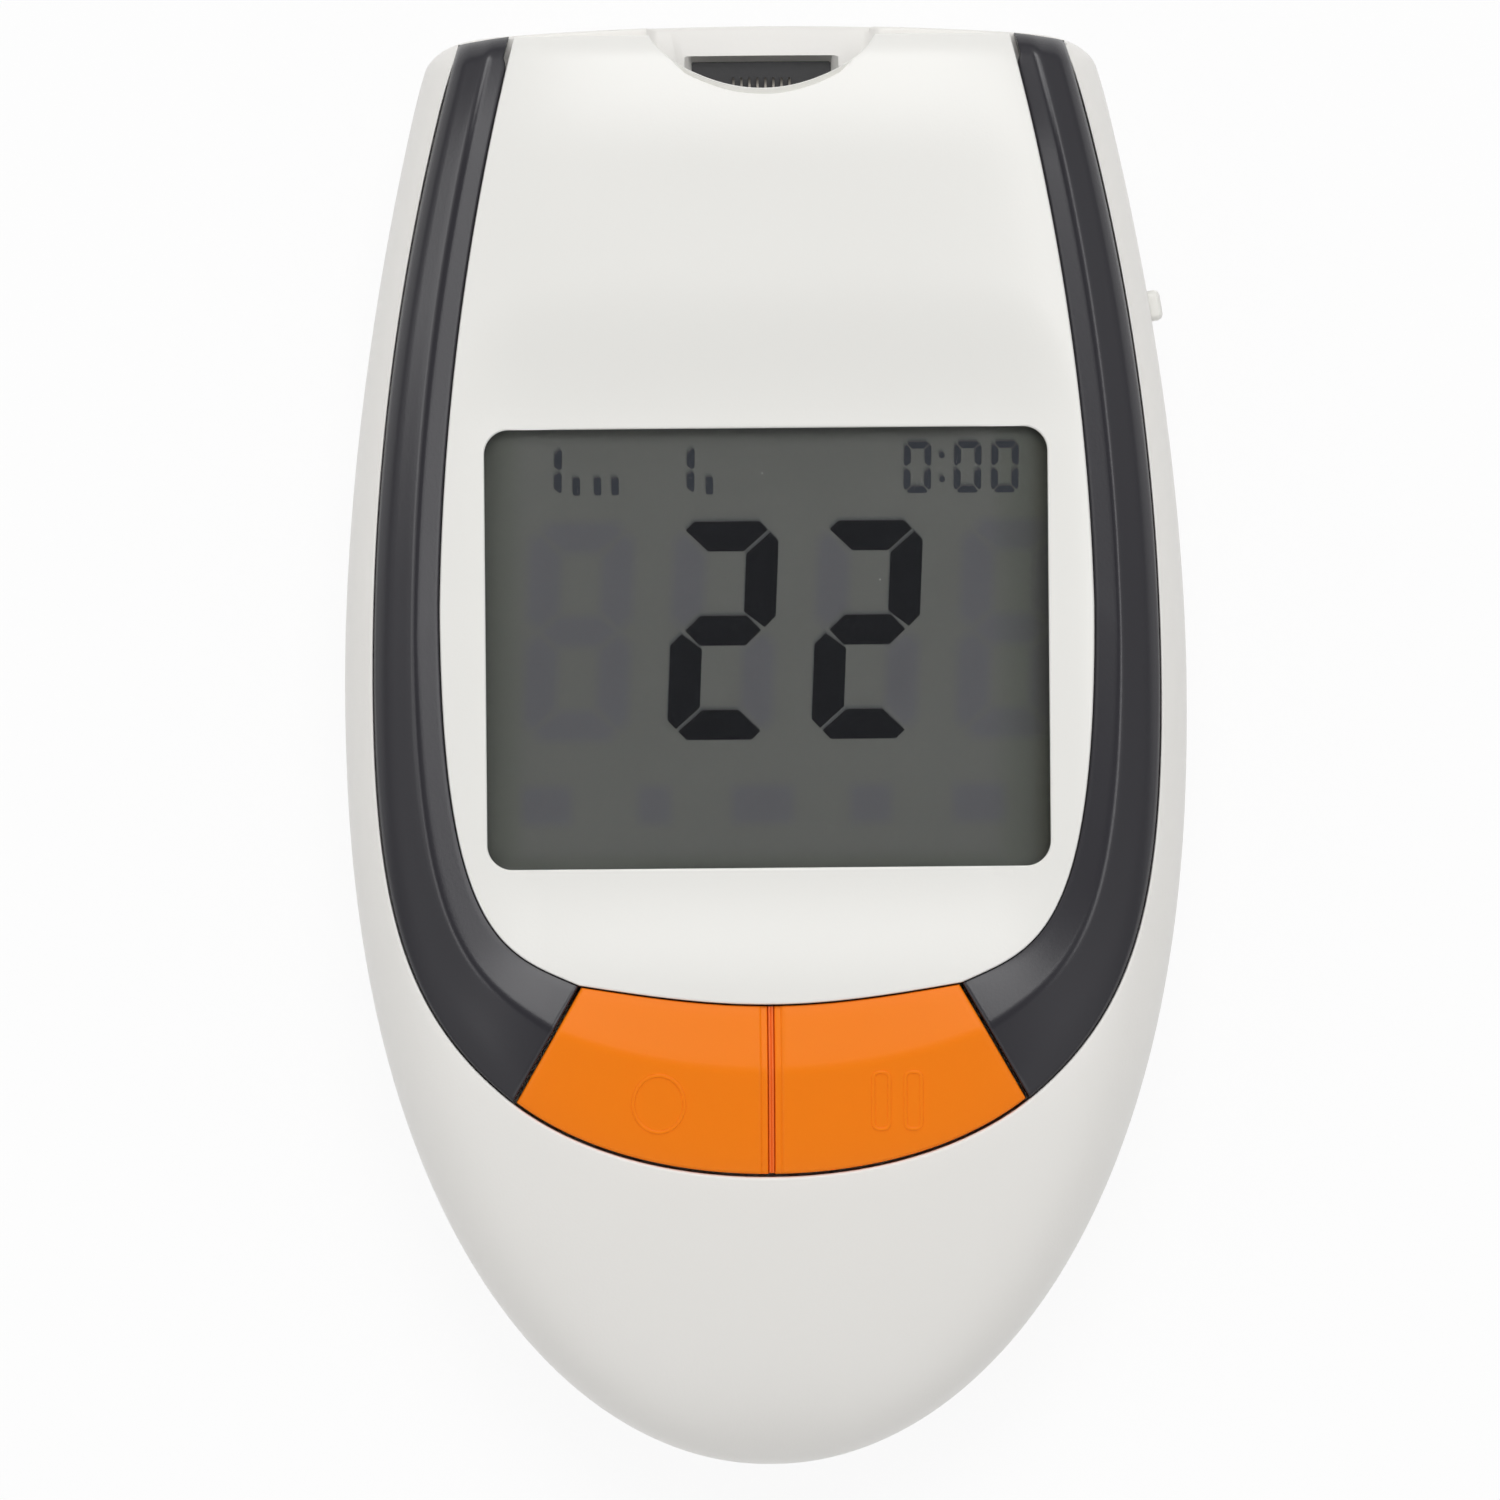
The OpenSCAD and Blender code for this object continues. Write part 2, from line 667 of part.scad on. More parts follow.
conn_front_w = port_w - 0.3;
conn_back = eject_y - 1 + 1.6 + eject_travel + 1.8;
conn_step = end_plate_from - 0.2;
strip_z = deck_z - 0.7;
strip_half = port_w / 2 - 0.7;
conn_floor = 0.4;
module strip_connector() {
    color("#2e2e31") difference() {
        union() {
            translate([-port_w / 2 - 1, conn_back, board_top])
                cube([port_w + 2, conn_step - conn_back, strip_z + 2.2 - board_top]);
            translate([-conn_front_w / 2, conn_step - 1, board_top])
                cube([conn_front_w, port_end - 0.15 - conn_step + 1, deck_z - 0.1 - board_top]);
        }
        // passage of the strip, and the open well in front of it
        translate([-strip_half, conn_back - 1, strip_z]) cube([2 * strip_half, hl, 1.4]);
        translate([-strip_half, conn_step, board_top + conn_floor])
            cube([2 * strip_half, port_end - 0.8 - conn_step, deck_z]);
        contact_row(0.12, board_top + conn_floor);
    }
}

// The row of contacts, with g for the grooves that they lie in
contact_w = 0.28;
module contact_row(g, z0) {
    for (k = [0:contact_n - 1])
        translate([(k - (contact_n - 1) / 2) * contact_pitch - contact_w / 2 - g, conn_back + 0.4 - g, z0])
            cube([contact_w + 2 * g, conn_step + 1.6 - conn_back - 0.4 + 2 * g, strip_z + 0.25 - z0]);
}

module strip_contacts() {
    color("#d0a23c") contact_row(0, board_top + conn_floor + 0.02);
}

// ---- Cells ----

cell_x = cell_d / 2 + 0.1;
nub_l = 1;
left_cell_end = cell_bay_end - plate_t;
right_cell_end = bay_start + plate_t;
module cell() {
    cylinder(h = cell_l - nub_l, r = cell_d / 2);
    translate([0, 0, cell_l - nub_l]) cylinder(h = nub_l, r = 1.9);
}

module battery_cells() {
    color("#3d7f52") {
        translate([-cell_x, left_cell_end - cell_l, cell_z]) rotate([-90, 0, 0]) cell();
        translate([cell_x, right_cell_end + cell_l, cell_z]) rotate([90, 0, 0]) cell();
    }
}

module battery_plates() {
    pw = cell_d - 2;
    color("#b9bcc0") {
        for (s = [-1, 1]) translate([s * cell_x - pw / 2, cell_bay_end - plate_t, cell_z - pw / 2])
            cube([pw, plate_t, pw]);
        translate([-cell_x - pw / 2, bay_start, cell_z - pw / 2]) cube([2 * cell_x + pw, plate_t, pw]);
    }
}

// Coil of three turns that opens out towards the cell
wire_r = 0.3;
coil_turns = 3;
coil_steps = 10 * coil_turns;
module battery_spring() {
    rise = (spring_l - 2 * wire_r - 0.04) / coil_steps;
    loft([for (k = [0:coil_steps]) let (a = 36 * k, r = 1.7 + 1.5 * k / coil_steps)
        [for (j = [0:5]) let (b = 60 * j, rr = r + wire_r * cos(b))
            [rr * cos(a), rr * sin(a), wire_r + 0.02 + rise * k + wire_r * sin(b)]]]);
}

module battery_springs() {
    color("#c4c7ca") {
        translate([-cell_x, bay_start + plate_t, cell_z]) rotate([-90, 0, 0]) battery_spring();
        translate([cell_x, cell_bay_end - plate_t, cell_z]) rotate([90, 0, 0]) battery_spring();
    }
}

module battery_door() {
    color("#e6e5e0") {
        translate([-door_half, door_start, door_gap])
            cube([2 * door_half, door_hinge[0] - door_start, door_t]);
        // round end and the two pins that the door swings on
        translate([-door_half, door_hinge[0], door_hinge[1]]) rotate([0, 90, 0])
            cylinder(h = 2 * door_half, r = door_t / 2);
        translate([-door_half - pin_l, door_hinge[0], door_hinge[1]]) rotate([0, 90, 0])
            cylinder(h = 2 * (door_half + pin_l), r = pin_r);
    }
}

// ---- Fasteners ----

module screw(shank_r, head_radius, l, head_h) {
    difference() {
        union() {
            cylinder(h = l, r = shank_r);
            translate([0, 0, -head_h]) cylinder(h = head_h, r = head_radius);
        }
        // cross in the head
        for (a = [0, 90]) rotate(a) translate([-head_radius * 0.6, -0.2, -head_h - 1])
            cube([head_radius * 1.2, 0.4, 1.5]);
    }
}

module housing_screws() {
    color("#9a9ca0") both_sides(case_screws) translate([0, 0, head_floor])
        screw(screw_r, head_r, deck_z - deck_t - head_floor - 1.5, 1.3);
}

module board_screws_set() {
    color("#a8aaad") both_sides(board_screws) translate([0, 0, board_top]) mirror([0, 0, 1])
        screw(board_screw_r, 1.5, board_t + 4, board_head_h);
}

rear_housing();
front_housing();
centre_panel();
trim_left();
trim_right();
display_lens();
lcd_glass();
lcd_frame();
lcd_connector();
set_button();
memory_button();
button_web();
switch_bodies();
set_plunger();
memory_plunger();
circuit_board();
board_chips();
buzzer();
strip_connector();
strip_contacts();
battery_cells();
battery_plates();
battery_springs();
battery_door();
ejector_slider();
housing_screws();
board_screws_set();
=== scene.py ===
import math

import bpy
import numpy as np
from mathutils import Matrix, Vector


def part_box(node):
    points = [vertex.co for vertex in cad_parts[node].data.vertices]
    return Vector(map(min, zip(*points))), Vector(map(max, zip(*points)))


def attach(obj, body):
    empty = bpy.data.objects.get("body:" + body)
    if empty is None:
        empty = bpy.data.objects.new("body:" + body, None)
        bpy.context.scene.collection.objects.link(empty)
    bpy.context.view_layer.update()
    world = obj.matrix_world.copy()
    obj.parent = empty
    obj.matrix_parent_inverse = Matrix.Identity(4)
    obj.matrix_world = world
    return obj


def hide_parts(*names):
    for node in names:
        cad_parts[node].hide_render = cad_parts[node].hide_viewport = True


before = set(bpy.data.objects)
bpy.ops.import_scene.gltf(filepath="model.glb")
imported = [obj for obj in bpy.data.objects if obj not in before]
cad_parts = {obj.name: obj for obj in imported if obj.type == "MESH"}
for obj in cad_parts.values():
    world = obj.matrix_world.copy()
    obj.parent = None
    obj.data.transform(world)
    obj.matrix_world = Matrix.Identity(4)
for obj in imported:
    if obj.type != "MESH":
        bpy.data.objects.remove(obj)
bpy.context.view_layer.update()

# ---- Table, lamps and camera ----
# The meter lies on its back on a pale table, under a wide soft lamp that stands towards its strip
# end. The camera hangs a metre above it, a touch to the left, turned a little against the case.
MM = 0.001


def srgb(red, green, blue):
    """Linear colour of a paint chip that is given in 0 to 255 sRGB."""
    chip = [c / 255 for c in (red, green, blue)]
    return [c / 12.92 if c <= 0.04045 else ((c + 0.055) / 1.055) ** 2.4 for c in chip] + [1.0]


def enter(name, data):
    """Puts a mesh, lamp or camera into the scene as an object."""
    made = bpy.data.objects.new(name, data)
    bpy.context.scene.collection.objects.link(made)
    return made


def node_maker(tree):
    """Empties a node tree and gives back add(kind, ...), which puts one node into it.

    Plain values go to the inputs in their order and named ones to the property or input of that
    name. A value that is a node, or a node's output, is joined to the input."""
    tree.nodes.clear()

    def add(kind, *values, **named):
        node = tree.nodes.new("ShaderNode" + kind)
        for key, value in [*enumerate(values), *named.items()]:
            if hasattr(node, str(key)):
                setattr(node, key, value)
                continue
            socket = node.inputs[key.replace("_", " ") if isinstance(key, str) else key]
            source = value.outputs[0] if isinstance(value, bpy.types.Node) else value
            if isinstance(source, bpy.types.NodeSocket):
                tree.links.new(source, socket)
            else:
                socket.default_value = source
        return node

    return add


def new_material(name):
    material = bpy.data.materials.new(name)
    material.use_nodes = True
    return material, node_maker(material.node_tree)


def colour_stops(ramp, *stops):
    """Sets the (place, colour) stops of a ramp node, from its first end to its last."""
    row = ramp.color_ramp.elements
    for at, _ in stops[1:-1]:
        row.new(at)
    for stop, (at, colour) in zip(row, stops):
        stop.position = at
        stop.color = colour
    return ramp


def table_material():
    """Near-white matt board that a camera, a mirror or a lens sees as plain white."""
    material, add = new_material("table_board")
    grain = add("TexNoise", Scale=260.0, Detail=3.0)
    board = add("BsdfDiffuse", Color=add("MapRange", grain, To_Min=0.86, To_Max=0.9))
    path = add("LightPath").outputs
    seen = add("Math", path["Is Camera Ray"], path["Is Glossy Ray"], operation="MAXIMUM")
    seen = add("Math", seen, path["Is Transmission Ray"], operation="MAXIMUM")
    share = add("Math", seen, 0.9, operation="MULTIPLY")
    white = add("MixShader", share, board, add("Emission", Strength=1.0))
    from_below = add("NewGeometry").outputs["Backfacing"]
    add("OutputMaterial", add("MixShader", from_below, white, add("BsdfTransparent")))
    return material


def table():
    half, steps, gap = 3.0, 24, 0.02 * MM
    line = np.linspace(-half, half, steps + 1)
    verts = [(x, y, -gap) for y in line for x in line]
    wide = steps + 1
    faces = [(r * wide + c, r * wide + c + 1, (r + 1) * wide + c + 1, (r + 1) * wide + c)
             for r in range(steps) for c in range(steps)]
    mesh = bpy.data.meshes.new("table_top")
    mesh.from_pydata(verts, [], faces)
    mesh.materials.append(table_material())
    enter("table_top", mesh)


def soft_box(name, place, size, power, shine_only=False):
    """Rectangular area lamp at place, turned towards the meter. A shine-only one is seen in gloss alone."""
    lamp = bpy.data.lights.new(name, "AREA")
    lamp.shape = "RECTANGLE"
    lamp.size, lamp.size_y = size
    lamp.energy = power
    holder = enter(name, lamp)
    holder.location = place
    holder.rotation_euler = (-Vector(place)).to_track_quat("-Z", "Y").to_euler()
    holder.visible_diffuse = not shine_only


def room():
    """White walls, and a dark ceiling round the camera for flat glossy faces to mirror."""
    world = bpy.data.worlds.new("studio")
    world.use_nodes = True
    bpy.context.scene.world = world
    add = node_maker(world.node_tree)
    height = add("SeparateXYZ", add("TexCoord")).outputs["Z"]
    ground, wall, ceiling = ([grey, grey, grey, 1.0] for grey in (0.28, 1.0, 0.1))
    shades = add("ValToRGB", height)
    colour_stops(shades, (0.0, ground), (0.45, wall), (0.8, wall), (0.93, ceiling))
    add("OutputWorld", add("Background", Color=shades, Strength=0.79))


def camera():
    lean, turn = math.radians(0.8), math.radians(0.5)
    distance, scale, picture = 1000.0, 14.48, 1500    # millimetres, photograph pixels in one and in all
    aim_right, aim_up, aim_z = -1.1, -0.2, 8.5        # what lies in the middle of the picture
    back = Vector((-math.sin(lean), 0, math.cos(lean)))
    up = Vector((math.sin(turn), math.cos(turn), 0))
    right = up.cross(back).normalized()
    up = back.cross(right)
    place = Vector((0, 0, aim_z)) + right * aim_right + up * aim_up + back * distance
    lens = bpy.data.cameras.new("photo_camera")
    lens.sensor_width = 36
    lens.lens = lens.sensor_width * distance * scale / picture
    lens.clip_start, lens.clip_end = 0.05, 20
    holder = enter("photo_camera", lens)
    holder.matrix_world = Matrix.Translation(place * MM) @ Matrix((right, up, back)).transposed().to_4x4()
    bpy.context.scene.camera = holder


table()
room()
camera()
soft_box("lamp_strip_end", (0.05, 0.72, 1.2), (0.62, 0.8), 8.2)
soft_box("lamp_left", (-0.8, 0.1, 0.7), (0.6, 0.5), 0.2)
soft_box("lamp_nose_end", (0.0, -0.9, 0.8), (0.6, 0.4), 0.7)
soft_box("card_right", (0.55, 0.2, 0.92), (0.9, 0.26), 2.9, shine_only=True)
soft_box("card_left", (-0.8, 0.2, 0.56), (0.35, 0.3), 1.1, shine_only=True)
soft_box("card_left_low", (-0.56, -0.15, 0.87), (0.3, 0.2), 0.7, shine_only=True)
bpy.context.scene.view_settings.view_transform = "Standard"

# ---- Rear shell ----
# Injection-moulded in satin off-white plastic: a tub with a flat underside that curls up under the
# nose, and a bowed strip end. It holds the cell bay, the recess of the door, four deep screw holes
# and half of the ejector's slot, and is screwed to the front shell.


def corners(node):
    """Lowest and highest corner of a CAD node, in millimetres."""
    low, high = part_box(node)
    return np.array(low) / MM, np.array(high) / MM


shell_low, shell_high = corners("front_housing")
HALF_W, HALF_L = shell_high[:2]
PARTING = shell_low[2]
WALL, END_R, END_W = 1.8, 2.5, 45.0
WIDEST_Y, NOSE_POWER, REAR_POWER = 4.0, 2.3, 1.84
HEEL_L = 15.5
GROOVE = 0.14                                         # chamfer of each shell at the parting line


def end_fillet(y, inset=0.0):
    """How far the rounding of the strip end takes the outline in."""
    d = np.clip(y - (HALF_L - inset - END_R), 0, END_R)
    return END_R - np.sqrt(np.maximum(END_R ** 2 - d ** 2, 0))


def half_width(y, inset=0.0):
    """Half width of the case, drawn in by inset."""
    y = np.asarray(y, float)
    nose = np.clip((WIDEST_Y - y) / (WIDEST_Y + HALF_L - inset), 0, 1)
    rear = np.clip((y - WIDEST_Y) / (HALF_L - WIDEST_Y), 0, 1)
    full = HALF_W - inset
    narrowed = full - (HALF_W - END_W / 2) * rear ** REAR_POWER
    return np.where(y < WIDEST_Y, full * np.sqrt(1 - nose ** NOSE_POWER), narrowed)


def keel(y, inset=0.0):
    """Height of the underside."""
    d = np.clip((HEEL_L - HALF_L - np.asarray(y, float)) / (HEEL_L - inset), 0, 1)
    return np.where(d <= 0, inset, PARTING - (PARTING - inset) * np.sqrt(np.maximum(1 - d ** 2, 0.0005)))


def grade(count, power=1.0):
    """Numbers from 0 to 1, closer together at the start if power is over 1."""
    return np.linspace(0, 1, count) ** power


def quarter(count):
    """Angles from 0 to 90 degrees."""
    return np.radians(np.linspace(0, 90, count))


def stations(inset):
    """Places of the sections along the case, close together at both ends."""
    end = HALF_L - inset - END_R
    curl = end + END_R * np.sin(quarter(9))
    middle = np.linspace(WIDEST_Y, end, 30)[:-1]
    nose = WIDEST_Y - (WIDEST_Y + HALF_L - inset) * np.sin(np.radians(np.linspace(0, 89.6, 44)))[1:]
    return np.concatenate([nose[::-1], middle, curl])


def smooth(mesh, angle):
    mesh.shade_smooth()
    mesh.set_sharp_from_angle(angle=math.radians(angle))


def solid(name, verts, faces, angle=38):
    """Mesh object from points in millimetres. It sits at the origin with its place in its mesh."""
    mesh = bpy.data.meshes.new(name)
    mesh.from_pydata((np.asarray(verts, float) * MM).tolist(), [], faces)
    mesh.validate()
    smooth(mesh, angle)
    return enter(name, mesh)


def skin(name, rings, closed_loop=False, angle=38, flipped=False):
    """Solid skin over rings of points that all have the same count. A closed loop has no ends."""
    rings = np.asarray(rings, float)
    rows, n = rings.shape[:2]
    faces = []
    for r in range(rows if closed_loop else rows - 1):
        a, b = r * n, (r + 1) % rows * n
        faces += [(a + k, a + (k + 1) % n, b + (k + 1) % n, b + k) for k in range(n)]
    if flipped:
        faces = [face[:1] + face[:0:-1] for face in faces]
    if not closed_loop:
        faces += [tuple(reversed(range(n))), tuple((rows - 1) * n + k for k in range(n))]
    return solid(name, rings.reshape(-1, 3), faces, angle)


def prism(name, outline, z0, z1):
    """Upright solid over an outline that runs counter-clockwise."""
    outline = np.asarray(outline, float)
    return skin(name, [np.column_stack([outline, np.full(len(outline), z)]) for z in (z0, z1)])


def box_outline(x0, x1, y0, y1):
    return [(x0, y0), (x1, y0), (x1, y1), (x0, y1)]


def rounded(width, length, radius, cx=0.0, cy=0.0, count=8):
    """Outline of a rectangle with round corners, counter-clockwise from its lower right corner."""
    points = []
    for sx, sy, start in ((1, -1, -90), (1, 1, 0), (-1, 1, 90), (-1, -1, 180)):
        for a in np.radians(np.linspace(start, start + 90, count + 1)):
            points.append((cx + sx * (width / 2 - radius) + radius * math.cos(a),
                           cy + sy * (length / 2 - radius) + radius * math.sin(a)))
    return points


def ring_outline(cx, cy, radius, count=40):
    return [(cx + radius * math.cos(a), cy + radius * math.sin(a))
            for a in np.linspace(0, 2 * math.pi, count, endpoint=False)]


def apply_modifiers(target):
    graph = bpy.context.evaluated_depsgraph_get()
    finished = bpy.data.meshes.new_from_object(target.evaluated_get(graph))
    target.modifiers.clear()
    target.data = finished
    return target


def combine(target, tools, operation):
    """Cuts the tools out of target, or joins them to it, and removes the tools."""
    for tool in tools:
        step = target.modifiers.new("work", "BOOLEAN")
        step.operation, step.object, step.solver = operation, tool, "EXACT"
        apply_modifiers(target)
        bpy.data.objects.remove(tool)
    return target


def flat_faces(target, angle):
    """Smooth shading that leaves the large flat faces flat beside their narrow round edges."""
    smooth(target.data, angle)
    step = target.modifiers.new("normals", "WEIGHTED_NORMAL")
    step.keep_sharp = True
    return apply_modifiers(target)


def paint(piece, material):
    piece.data.materials.clear()
    piece.data.materials.append(material)


def settle(piece, material, node=None, body="meter_body"):
    """Gives a finished piece its material, its body and the CAD node that it stands for."""
    paint(piece, material)
    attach(piece, body)
    if node:
        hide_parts(node)


def moulded(name, colour, roughness, grain, mottle, specular=0.5, metallic=0.0, subsurface=0.0):
    """Moulded or plated finish: a faint mottle, slightly uneven gloss and a fine spark-eroded grain."""
    uneven = 0.025
    material, add = new_material(name)
    place = add("TexCoord").outputs["Object"]
    cloud = add("TexNoise", place, Scale=95.0, Detail=4.0, Roughness=0.6)
    deep, pale = ([min(1, c * tone) for c in srgb(*colour)[:3]] + [1] for tone in (1 - mottle, 1 + mottle))
    gloss = add("MapRange", cloud, To_Min=roughness - uneven, To_Max=roughness + uneven)
    fine = add("TexNoise", place, Scale=5200.0, Detail=2.0, Roughness=0.5)
    shader = add("BsdfPrincipled", Roughness=gloss, Specular_IOR_Level=specular, Metallic=metallic,
                 Base_Color=add("MixRGB", cloud, deep, pale, blend_type="MIX"),
                 Normal=add("Bump", Height=fine, Strength=grain, Distance=0.03 * MM),
                 Subsurface_Weight=subsurface, Subsurface_Radius=(0.4 * MM, 0.3 * MM, 0.2 * MM))
    add("OutputMaterial", shader)
    return material


WHITE_SHELL = moulded("white_shell_plastic", (234, 232, 228), 0.42, grain=0.25, mottle=0.008)
SLIP = 0.2
door_low, door_high = corners("battery_door")
cells_low, cells_high = corners("battery_cells")
plates_low, plates_high = corners("battery_plates")
CASE_SCREWS = [(side * x, y) for x, y in ((19.5, -22.0), (18.0, HALF_L - 8.5)) for side in (-1, 1)]
DOOR_T = door_high[2] - door_low[2]
PIN_L = 0.8
DOOR_HALF = door_high[0] - PIN_L
HINGE_Y = door_high[1] - DOOR_T / 2
EJECT_Y = HALF_L - 19.3
EJECT_X = float(half_width(EJECT_Y))
EJECT_TURN = math.atan(float(half_width(EJECT_Y - 1) - half_width(EJECT_Y + 1)) / 2)
RIDGE_L, EJECT_TRAVEL, SLOT_H = 2.1, 3.5, 2.5
SLOT_PLAN = (-3.5, 3, -RIDGE_L / 2 - SLIP, RIDGE_L / 2 + EJECT_TRAVEL + SLIP)
BOW, BOW_L = 0.8, 6
FLAT_SHARE = 0.6                                      # of the underside's width


def bow(x, y):
    """How far the corners of the strip end, 20 mm out, stand back from its middle."""
    near_end = min(max((y - HALF_L + BOW_L) / BOW_L, 0), 1)
    return BOW * (x / 20) ** 2 * near_end ** 2


def tub(name, inset, top):
    """Lower half of the case, drawn in by inset, with a fine chamfer at the parting line."""
    rings = []
    groove = GROOVE if inset == 0 else 0.0
    a = np.radians(90 * grade(22, 0.8))
    for y in stations(inset):
        w = float(half_width(y, inset) - end_fillet(y, inset))
        h = float(PARTING - keel(y, inset) - 0.8 * end_fillet(y, inset))
        x = w * (FLAT_SHARE + (1 - FLAT_SHARE) * np.cos(a))
        z = np.minimum(PARTING - h * np.sin(a), PARTING - groove)
        right = [(w - groove, top), *zip(x, z)]
        rings.append([(-px, y, pz) for px, pz in right] + [(px, y, pz) for px, pz in reversed(right)])
    # the strip end's wall in steps, so that it can be bowed
    rings += [[(px * part, py, pz) for px, py, pz in rings[-1]] for part in (0.8, 0.6, 0.4, 0.2, 0.02)]
    return skin(name, [[(px, py - bow(px, py), pz) for px, py, pz in ring] for ring in rings[::-1]])


def at_ejector(local):
    """Points given from the ejector's place on the side, turned to run along it."""
    c, s = math.cos(EJECT_TURN), math.sin(EJECT_TURN)
    return [(EJECT_X + c * x - s * y, EJECT_Y + s * x + c * y) for x, y in local]


def rear_shell():
    shell = tub("rear_shell", 0.0, PARTING)
    combine(shell, [tub("hollow", WALL, PARTING + 1)], "DIFFERENCE")
    bay_x, bay_top = cells_high[0] + 0.2, cells_high[2] + 0.1
    bay_y0, bay_y1 = plates_low[1], plates_high[1]
    wall, floor_z = 1.5, WALL - 0.4
    bay_plan = box_outline(-bay_x - wall, bay_x + wall, bay_y0 - wall, bay_y1 + wall)
    blocks = [prism("bay_box", bay_plan, floor_z, bay_top + 0.8)]
    for place in CASE_SCREWS:
        boss = prism("boss", ring_outline(*place, 2.6), floor_z, PARTING)
        blocks.append(combine(boss, [tub("within", 0.3, PARTING + 1)], "INTERSECT"))
    combine(shell, blocks, "UNION")
    lip_y = HINGE_Y + 0.5
    recess = rounded(2 * (DOOR_HALF + SLIP), lip_y + 2 * SLIP - door_low[1], 0.9,
                     cy=(lip_y + door_low[1]) / 2)
    cuts = [prism("bay", box_outline(-bay_x, bay_x, bay_y0, bay_y1), -1, bay_top),
            prism("recess", recess, -1, door_high[2] + SLIP),
            prism("nail_notch", ring_outline(0, door_low[1] - SLIP, 4.0), -1, door_high[2]),
            prism("slot", at_ejector(box_outline(*SLOT_PLAN)), PARTING - SLOT_H / 2, PARTING + 1)]
    for place in CASE_SCREWS:
        cuts.append(prism("head_hole", ring_outline(*place, 2.0), -1, 2.6))
        cuts.append(prism("shank_hole", ring_outline(*place, 1.0), 1, PARTING + 1))
    combine(shell, cuts, "DIFFERENCE")
    flat_faces(shell, 34)
    settle(shell, WHITE_SHELL, "rear_housing")


rear_shell()

# ---- Battery door ----
# A thin plate of the shell's own plastic that closes the cell bay. It swings on two pins at its
# strip end and has a row of fine grip grooves by the nail notch at the other.


def soften(target, width, segments=2):
    """Rounds the hard edges, as a mould does."""
    step = target.modifiers.new("edge", "BEVEL")
    step.width, step.segments = width * MM, segments
    step.limit_method, step.angle_limit = "ANGLE", math.radians(40)
    apply_modifiers(target)
    return flat_faces(target, 42)


def turned(name, profile, spot, count, sense=1):
    """Solid of revolution over (radius, place along the axis) pairs.

    spot puts a point into the case from its two offsets from the axis and its place along it."""
    turn = np.linspace(0, 2 * math.pi, count, endpoint=False)[::sense]
    return skin(name, [[spot(r * math.cos(a), r * math.sin(a), level) for a in turn] for r, level in profile])


def battery_door():
    z0, z1 = door_low[2], door_high[2]
    y0, y1 = door_low[1], HINGE_Y + DOOR_T / 2
    door = prism("battery_cover", rounded(2 * DOOR_HALF, y1 - y0, 0.7, 0, (y0 + y1) / 2), z0, z1)
    grooves = [prism("groove", rounded(9.0, 0.7, 0.34, 0, y0 + 2.4 + 1.5 * k), z0 - 1, z0 + 0.35)
               for k in range(5)]
    combine(door, grooves, "DIFFERENCE")
    for side in (-1, 1):
        def spot(u, v, along):
            return side * DOOR_HALF + side * PIN_L * along, HINGE_Y + u, (z0 + z1) / 2 + v

        combine(door, [turned("pin", [(0.4, -0.3), (0.4, 0.85), (0.28, 1.0)], spot, 20, side)], "UNION")
    soften(door, 0.16)
    settle(door, WHITE_SHELL, "battery_door", "door")


battery_door()

# ---- Cells, plates and springs ----
# Two AAA cells lie side by side, nose to tail. Each is a steel can in a printed sleeve. Nickel
# plates and coil springs at the ends of the bay join them up.


def sleeve_material():
    """Glossy sleeve on the can: a green body, a pale band by the nub and bare steel at the ends."""
    material, add = new_material("cell_sleeve")
    place = add("TexCoord").outputs["Object"]
    along = add("MapRange", add("SeparateXYZ", place).outputs["Y"],
                From_Min=cells_low[1] * MM, From_Max=cells_high[1] * MM)
    steel, pale, green = srgb(176, 178, 182), srgb(214, 205, 170), srgb(40, 120, 70)
    bands = colour_stops(add("ValToRGB", along), (0.0, steel), (0.04, green), (0.12, pale), (0.15, green),
                         (0.84, pale), (0.87, green), (0.955, steel))
    bands.color_ramp.interpolation = "CONSTANT"
    gloss = add("MapRange", add("TexNoise", place, Scale=700.0, Detail=4.0), To_Min=0.16, To_Max=0.34)
    add("OutputMaterial", add("BsdfPrincipled", Base_Color=bands, Roughness=gloss, Metallic=0.25))
    return material


def cells():
    """Both cells as turned cans with a rolled shoulder at each end, nose to tail."""
    radius = (cells_high[2] - cells_low[2]) / 2
    axis_z = (cells_high[2] + cells_low[2]) / 2
    length = 44.5
    rim = length - 1.0                                # where the nub begins
    profile = [(0.6, 0), (4.4, 0), (4.6, 0.25), (4.9, 0.3), (radius - 0.12, 0.55), (radius, 0.9),
               (radius, rim - 0.9), (radius - 0.12, rim - 0.45), (4.6, rim - 0.1), (4.3, rim),
               (2.3, rim), (2.0, rim + 0.12), (1.9, length - 0.3), (1.6, length), (0.5, length)]
    for name, side, foot_y in (("cell_left", -1, cells_high[1] - length),
                               ("cell_right", 1, cells_low[1] + length)):
        def spot(u, v, along):
            return side * (cells_high[0] - radius) + u, foot_y - side * along, axis_z + v

        yield turned(name, profile, spot, 48, side)


SLEEVE = sleeve_material()
for cell, node in zip(cells(), ("battery_cells", None)):
    settle(cell, SLEEVE, node)
NICKEL = moulded("nickel_plate", (196, 197, 200), 0.26, grain=0.05, mottle=0.05, metallic=1.0)
for node in ("battery_plates", "battery_springs"):
    paint(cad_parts[node], NICKEL)

# ---- Circuit board and its parts ----
# A green glass-fibre board on the rear shell's pillars. The controller, memory, crystal, round
# sounder and the silicone strips of the display sit on it, and four small screws hold it down.


